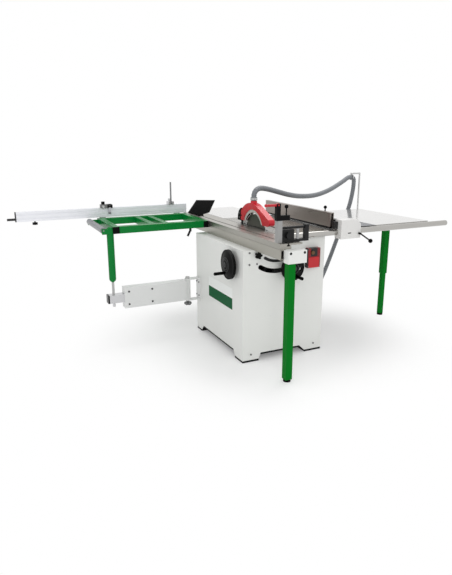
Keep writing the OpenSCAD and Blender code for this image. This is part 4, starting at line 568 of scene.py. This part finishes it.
# thin black sheet on the front of the fence head: painted shade standing in for a slot
slotShadeSet = {"x": (0.448, 0.474), "y": (-0.4788, -0.477), "z": (0.8435, 0.8505), "edge": 0.0007}
bm = bmesh.new()
softBox(bm, *zip(slotShadeSet["x"], slotShadeSet["y"], slotShadeSet["z"]), slotShadeSet["edge"], 2)
addPiece("headSlotShade", bm, satinBlack, "rip_carrier", 40)

# silver knob on the left stop
knobSet = {"in": 0.013, "z": 0.9583, "radius": 0.012, "dip": 0.003, "lobes": 6, "high": 0.014, "sunk": 0.001}
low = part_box("left_stop_block")[0]
bm = bmesh.new()
lobed(bm, knobSet["radius"], knobSet["dip"], knobSet["lobes"], (0.0, knobSet["high"]),
      (low.x + knobSet["in"], low.y + knobSet["sunk"], knobSet["z"]), (0, -1, 0), 36)
addPiece("stopKnob", bm, brightSteel, "left_stop", 35)

# bare two-tone plate on the left of the cabinet
plateSet = {"x": (-0.3162, -0.3148), "y": (-0.240, 0.160), "z": (0.334, 0.486), "bar": 0.415, "edge": 0.0004}
platePaint = paintFinish("platePaint", tint(232, 234, 232), 0.36, 0.0, 0.03, 0.02,
                         [beyond(2, -1, plateSet["bar"], tint(6, 84, 46))], 0.04)
bm = bmesh.new()
softBox(bm, *zip(plateSet["x"], plateSet["y"], plateSet["z"]), plateSet["edge"], 1)
addPiece("sidePlate", bm, platePaint, "machine")

# star nut under the swing arm's hinge
starSet = {"at": (-0.410, 0.360, 0.0), "z": (0.218, 0.240), "radius": 0.030, "dip": 0.012, "lobes": 5,
           "neck": 0.013, "neckZ": (0.2395, 0.2530)}
bm = bmesh.new()
lobed(bm, starSet["radius"], starSet["dip"], starSet["lobes"], starSet["z"], starSet["at"], (0, 0, 1))
neckLow, neckHigh = starSet["neckZ"]
turned(bm, [(0, neckLow), (starSet["neck"], neckLow), (starSet["neck"], neckHigh), (0, neckHigh)],
       starSet["at"], (0, 0, 1), 20)
addPiece("hingeStar", bm, boltSteel, "machine", 35)

# grey hubs and rings on the two handwheels
hubSet = {"face": 0.040, "hub": 0.020, "rim": 0.014, "rimFace": 0.022, "ringHalf": 0.003, "ringTop": 0.0015,
          "ringFoot": -0.001,
          "cap": ((0, 0.005), (0.007, 0.005), (0.009, 0.002), (0.017, 0.002), (0.019, -0.001), (0, -0.001)),
          "tilt": {"at": (-0.337, -0.250, 0.660), "radius": 0.100, "rings": (0.034, 0.046)},
          "height": {"y": -0.434, "radius": 0.085, "rings": (0.034,)}}  # this wheel has holes further out


def wheelHub(name, at, axis, wheel, body):
    face, half = hubSet["face"], hubSet["ringHalf"]
    run = wheel["radius"] - hubSet["rim"] - hubSet["hub"]
    slope = (face - hubSet["rimFace"]) / run  # fall of the disc from hub to rim
    bm = bmesh.new()
    turned(bm, [(r, face + z) for r, z in hubSet["cap"]], at, axis)
    for ringAt in wheel["rings"]:
        top = face - slope * (ringAt - hubSet["hub"])
        near, far = (ringAt - half, top + half * slope), (ringAt + half, top - half * slope)
        corners = ((near, "ringFoot"), (near, "ringTop"), (far, "ringTop"), (far, "ringFoot"),
                   (near, "ringFoot"))
        turned(bm, [(edge[0], edge[1] + hubSet[rise]) for edge, rise in corners], at, axis, 48)
    addPiece(name, bm, hubIron, body, 30)


hubIron = metalFinish("hubIron", tint(48, 49, 50), 0.5, 2, 0.4, 0.06, 0.2, 120.0)
wheelHub("tiltHub", hubSet["tilt"]["at"], (-1, 0, 0), hubSet["tilt"], "tilt_drive")
low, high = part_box("height_wheel")
heightAt = ((low.x + high.x) / 2, hubSet["height"]["y"], (low.z + high.z) / 2)
wheelHub("heightHub", heightAt, (0, -1, 0), hubSet["height"], "height_drive")
print("caps, plate, hubs and star made")

# hex bolts with washers, by Geometry Nodes

boltSet = {"washer": 1.35, "washerThick": 0.4,  # shares of the head's radius and height
           "switch": (0.0025, 0.002), "endPlate": (0.006, 0.005), "insert": (0.0035, 0.0008),
           "guard": (0.0055, 0.005), "cover": (0.0055, 0.003)}  # radius and height of each head
boltTree, boltIds, boltIn, boltOut = newTree("hexBolts", {
    "Radius": "NodeSocketFloat", "Height": "NodeSocketFloat", "Finish": "NodeSocketMaterial"})
aimBy = treeNode(boltTree, "GeometryNodeInputNamedAttribute", {"data_type": "FLOAT_VECTOR"}, {"Name": "axis"})
aim = treeNode(boltTree, "FunctionNodeAlignRotationToVector", {"axis": "Z"}, {"Vector": aimBy.outputs[0]})
hexHead = treeNode(boltTree, "GeometryNodeMeshCylinder", {}, {
    "Vertices": 6, "Radius": boltIn.outputs["Radius"], "Depth": boltIn.outputs["Height"]})
washer = treeNode(boltTree, "GeometryNodeMeshCylinder", {}, {
    "Vertices": 16, "Radius": treeMath(boltTree, "MULTIPLY", boltIn.outputs["Radius"], boltSet["washer"]),
    "Depth": treeMath(boltTree, "MULTIPLY", boltIn.outputs["Height"], boltSet["washerThick"])})
bothParts = treeNode(boltTree, "GeometryNodeJoinGeometry")
boltTree.links.new(hexHead.outputs["Mesh"], bothParts.inputs[0])
boltTree.links.new(washer.outputs["Mesh"], bothParts.inputs[0])
spread = treeNode(boltTree, "GeometryNodeInstanceOnPoints", {}, {
    "Points": boltIn.outputs["Geometry"], "Instance": bothParts.outputs[0], "Rotation": aim.outputs[0]})
closeTree(boltTree, spread.outputs[0], boltIn, boltOut)


def hexBolts(name, spots, size, finish, body):
    mesh = bpy.data.meshes.new(name + "Points")
    mesh.from_pydata([at for at, axis in spots], [], [])
    aims = mesh.attributes.new("axis", "FLOAT_VECTOR", "POINT")
    for k, (at, axis) in enumerate(spots):
        aims.data[k].vector = axis
    bakeTree(name, holderOf(name + "Points", mesh), boltTree, boltIds,
             {"Radius": size[0], "Height": size[1], "Finish": finish}, body)


front, up = (0, -1, 0), (0, 0, 1)
low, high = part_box("switch_box")
inset = {"x": 0.0035, "z": 0.008}
hexBolts("switchScrews", [((x, low.y, z), front) for x in (low.x + inset["x"], high.x - inset["x"])
                          for z in (high.z - inset["z"], low.z + inset["z"])],
         boltSet["switch"], boltSteel, "machine")
low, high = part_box("base_end_plate")
inset = {"x": (0.112, 0.016), "z": 0.014}
hexBolts("endPlateBolts", [((high.x - x, low.y, high.z - inset["z"]), front) for x in inset["x"]],
         boltSet["endPlate"], darkBolt, "machine")
low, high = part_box("table_insert")
inset = {"x": 0.010, "y": 0.015}
hexBolts("insertScrews", [((x, y, high.z), up) for x in (low.x + inset["x"], high.x - inset["x"])
                          for y in (low.y + inset["y"], high.y - inset["y"])],
         boltSet["insert"], boltSteel, "machine")
guardSet = {"x": -0.060, "half": 0.0235, "y": 0.118, "z": (0.915, 0.948)}
hexBolts("guardBolts", [((guardSet["x"] + s * guardSet["half"], guardSet["y"], z), (s, 0, 0))
                        for s in (-1, 1) for z in guardSet["z"]], boltSet["guard"], boltSteel, "guard")
print("bolts made")

# louvres pressed into a bolted cover, by Geometry Nodes

louvreTree, louvreIds, louvreIn, louvreOut = newTree("coverLouvres", {
    "Count": "NodeSocketInt", "Step": "NodeSocketVector", "Length": "NodeSocketFloat",
    "Width": "NodeSocketFloat", "Turn": "NodeSocketVector", "Finish": "NodeSocketMaterial"})
row = treeNode(louvreTree, "GeometryNodeMeshLine", {}, {"Count": louvreIn.outputs["Count"],
                                                        "Offset": louvreIn.outputs["Step"]})
ridge = treeNode(louvreTree, "GeometryNodeMeshCylinder", {}, {
    "Vertices": 16, "Radius": louvreIn.outputs["Width"], "Depth": louvreIn.outputs["Length"]})
ridge = treeNode(louvreTree, "GeometryNodeSetShadeSmooth", {"domain": "FACE"},
                 {0: ridge.outputs["Mesh"], 1: ridge.outputs["Side"]})
spread = treeNode(louvreTree, "GeometryNodeInstanceOnPoints", {}, {
    "Points": row.outputs[0], "Instance": ridge.outputs[0]})
laid = treeNode(louvreTree, "GeometryNodeRotateInstances", {}, {
    "Instances": spread.outputs[0], "Rotation": louvreIn.outputs["Turn"]})
closeTree(louvreTree, laid.outputs[0], louvreIn, louvreOut)

coverSet = {"right": {"low": (0.314, -0.250, 0.200), "high": (0.3165, 0.230, 0.620)},
            "rear": {"low": (-0.250, 0.399, 0.300), "high": (0.230, 0.4015, 0.640)},
            "inset": 0.018, "edge": 0.0007, "sunk": 0.001, "count": 9, "pitch": 0.026, "length": 0.170,
            "ridge": 0.0055, "fields": {"Near": 0.27, "Far": 0.73}}


def louvredCover(name, side):
    low, high = Vector(coverSet[side]["low"]), Vector(coverSet[side]["high"])
    inset, count, pitch, sunk = [coverSet[key] for key in ("inset", "count", "pitch", "sunk")]
    flat = 0 if side == "right" else 1  # the axis the cover faces along
    run = 1 - flat

    def onCover(out, across, z):
        at = [0, 0, z]
        at[flat], at[run] = high[flat] + out, across
        return at

    bm = bmesh.new()
    softBox(bm, low, high, coverSet["edge"], 2)
    addPiece(name, bm, cabinetPaint, "machine", 40)
    facing = (1 - flat, flat, 0)
    spots = [(onCover(sunk, across, z), facing)
             for across in (low[run] + inset, (low[run] + high[run]) / 2, high[run] - inset)
             for z in (low.z + inset, high.z - inset)]
    hexBolts(name + "Screws", spots, boltSet["cover"], boltSteel, "machine")
    turn = (math.pi / 2, 0, 0) if flat == 0 else (0, math.pi / 2, 0)
    for part, share in coverSet["fields"].items():
        holder = holderOf(name + part, bpy.data.meshes.new(name + part))
        start = onCover(-sunk, low[run] + share * (high[run] - low[run]),
                        (low.z + high.z - (count - 1) * pitch) / 2)
        bakeTree(name + part + "Louvres", holder, louvreTree, louvreIds, {
            "Count": count, "Step": (0, 0, pitch), "Length": coverSet["length"], "Width": coverSet["ridge"],
            "Turn": turn, "Finish": cabinetPaint}, "machine", start)


louvredCover("motorCover", "right")
louvredCover("rearCover", "rear")
print("covers made")

# rule along the crosscut fence, by Geometry Nodes

ruleSet = {"count": 132, "step": 0.010, "tick": (0.0008, 0.004, 0.0004), "long": 10.0, "in": (0.010, 0.006)}
ruleTree, ruleIds, ruleIn, ruleOut = newTree("ruleTicks", {
    "Count": "NodeSocketInt", "Step": "NodeSocketFloat", "Tick": "NodeSocketVector",
    "Finish": "NodeSocketMaterial"})
stepVector = treeNode(ruleTree, "ShaderNodeCombineXYZ", {}, {0: ruleIn.outputs["Step"]})
row = treeNode(ruleTree, "GeometryNodeMeshLine", {}, {"Count": ruleIn.outputs["Count"],
                                                      "Offset": stepVector.outputs[0]})
tick = treeNode(ruleTree, "GeometryNodeMeshCube", {}, {"Size": ruleIn.outputs["Tick"]})
number = treeNode(ruleTree, "GeometryNodeInputIndex")
tenth = treeMath(ruleTree, "MODULO", number.outputs[0], ruleSet["long"])
isLong = treeMath(ruleTree, "LESS_THAN", tenth, 0.5)
longer = treeMath(ruleTree, "ADD", isLong, 1.0)  # long ticks are twice as long
stretch = treeNode(ruleTree, "ShaderNodeCombineXYZ", {}, {0: 1.0, 1: longer, 2: 1.0})
spread = treeNode(ruleTree, "GeometryNodeInstanceOnPoints", {}, {
    "Points": row.outputs[0], "Instance": tick.outputs[0], "Scale": stretch.outputs[0]})
closeTree(ruleTree, spread.outputs[0], ruleIn, ruleOut)

low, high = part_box("crosscut_fence")
ruleAt = (low.x + ruleSet["in"][0], low.y + ruleSet["in"][1], high.z)
bakeTree("fenceRule", holderOf("ruleStart", bpy.data.meshes.new("ruleStart")), ruleTree, ruleIds, {
    "Count": ruleSet["count"], "Step": ruleSet["step"], "Tick": ruleSet["tick"],
    "Finish": darkBolt}, "cross_fence", ruleAt)
print("rule made")

# floor, backdrop light and lamps
stageSet = {"size": 60.0, "fade": (0.65, 1.45), "lift": 0.18, "pale": (0.96, 0.96, 0.96, 1), "sky": 0.78}
pureWhite = (1, 1, 1, 1)


def seenRays(w):  # 1 for rays that show the stage, 0 for those that only light the part
    camera, glossy, through = [w.make("ShaderNodeLightPath", out="Is %s Ray" % kind)
                               for kind in ("Camera", "Glossy", "Transmission")]
    return w.calc("MINIMUM", camera + glossy + through, 1.0)


bpy.ops.mesh.primitive_plane_add(size=stageSet["size"], location=(0, 0, 0))
floor = bpy.context.object
floor.name = "paleFloor"
floorFinish, w = newFinish("floorFinish")
at = w.make("ShaderNodeTexCoord", out=3)
far = w.make("ShaderNodeVectorMath", {"operation": "LENGTH"}, {0: at}, 1)
far = w.make("ShaderNodeMapRange", {"interpolation_type": "SMOOTHSTEP"},
             {"Value": far, "From Min": stageSet["fade"][0], "From Max": stageSet["fade"][1]})
plain = w.make("ShaderNodeBsdfDiffuse", {}, {"Color": stageSet["pale"]})
glow = w.make("ShaderNodeEmission", {}, {"Color": pureWhite, "Strength": 1.0})
share = (stageSet["lift"] + (1 - stageSet["lift"]) * far) * seenRays(w)
both = w.make("ShaderNodeMixShader", {}, {0: share, 1: plain, 2: glow})
w.make("ShaderNodeOutputMaterial", {}, {"Surface": both})
floor.data.materials.append(floorFinish)

world = bpy.data.worlds.new("studio")
scene.world = world
world.use_nodes = True
world.node_tree.nodes.clear()
w = Wire(world.node_tree)
strength = stageSet["sky"] + seenRays(w) * (1 - stageSet["sky"])
sky = w.make("ShaderNodeBackground", {}, {"Color": pureWhite, "Strength": strength})
w.make("ShaderNodeOutputWorld", {}, {"Surface": sky})

lampSet = {"overheadLamp": {"place": (1.3, 0.8, 3.9), "target": (0.0, 0.0, 0.4), "size": (2.4, 2.2),
                            "power": 58.0},
           "frontLamp": {"place": (-2.0, -4.0, 2.4), "target": (0.1, 0, 0.6), "size": (2.4, 1.8),
                         "power": 40.0}}


def areaLamp(name, place, target, size, power):
    data = bpy.data.lights.new(name, "AREA")
    data.shape = "RECTANGLE"
    data.size, data.size_y = size
    data.energy = power
    lamp = bpy.data.objects.new(name, data)
    lamp.location = place
    lamp.rotation_euler = (Vector(target) - Vector(place)).to_track_quat("-Z", "Y").to_euler()
    scene.collection.objects.link(lamp)


for lampName, values in lampSet.items():
    areaLamp(lampName, **values)
print("stage lit")
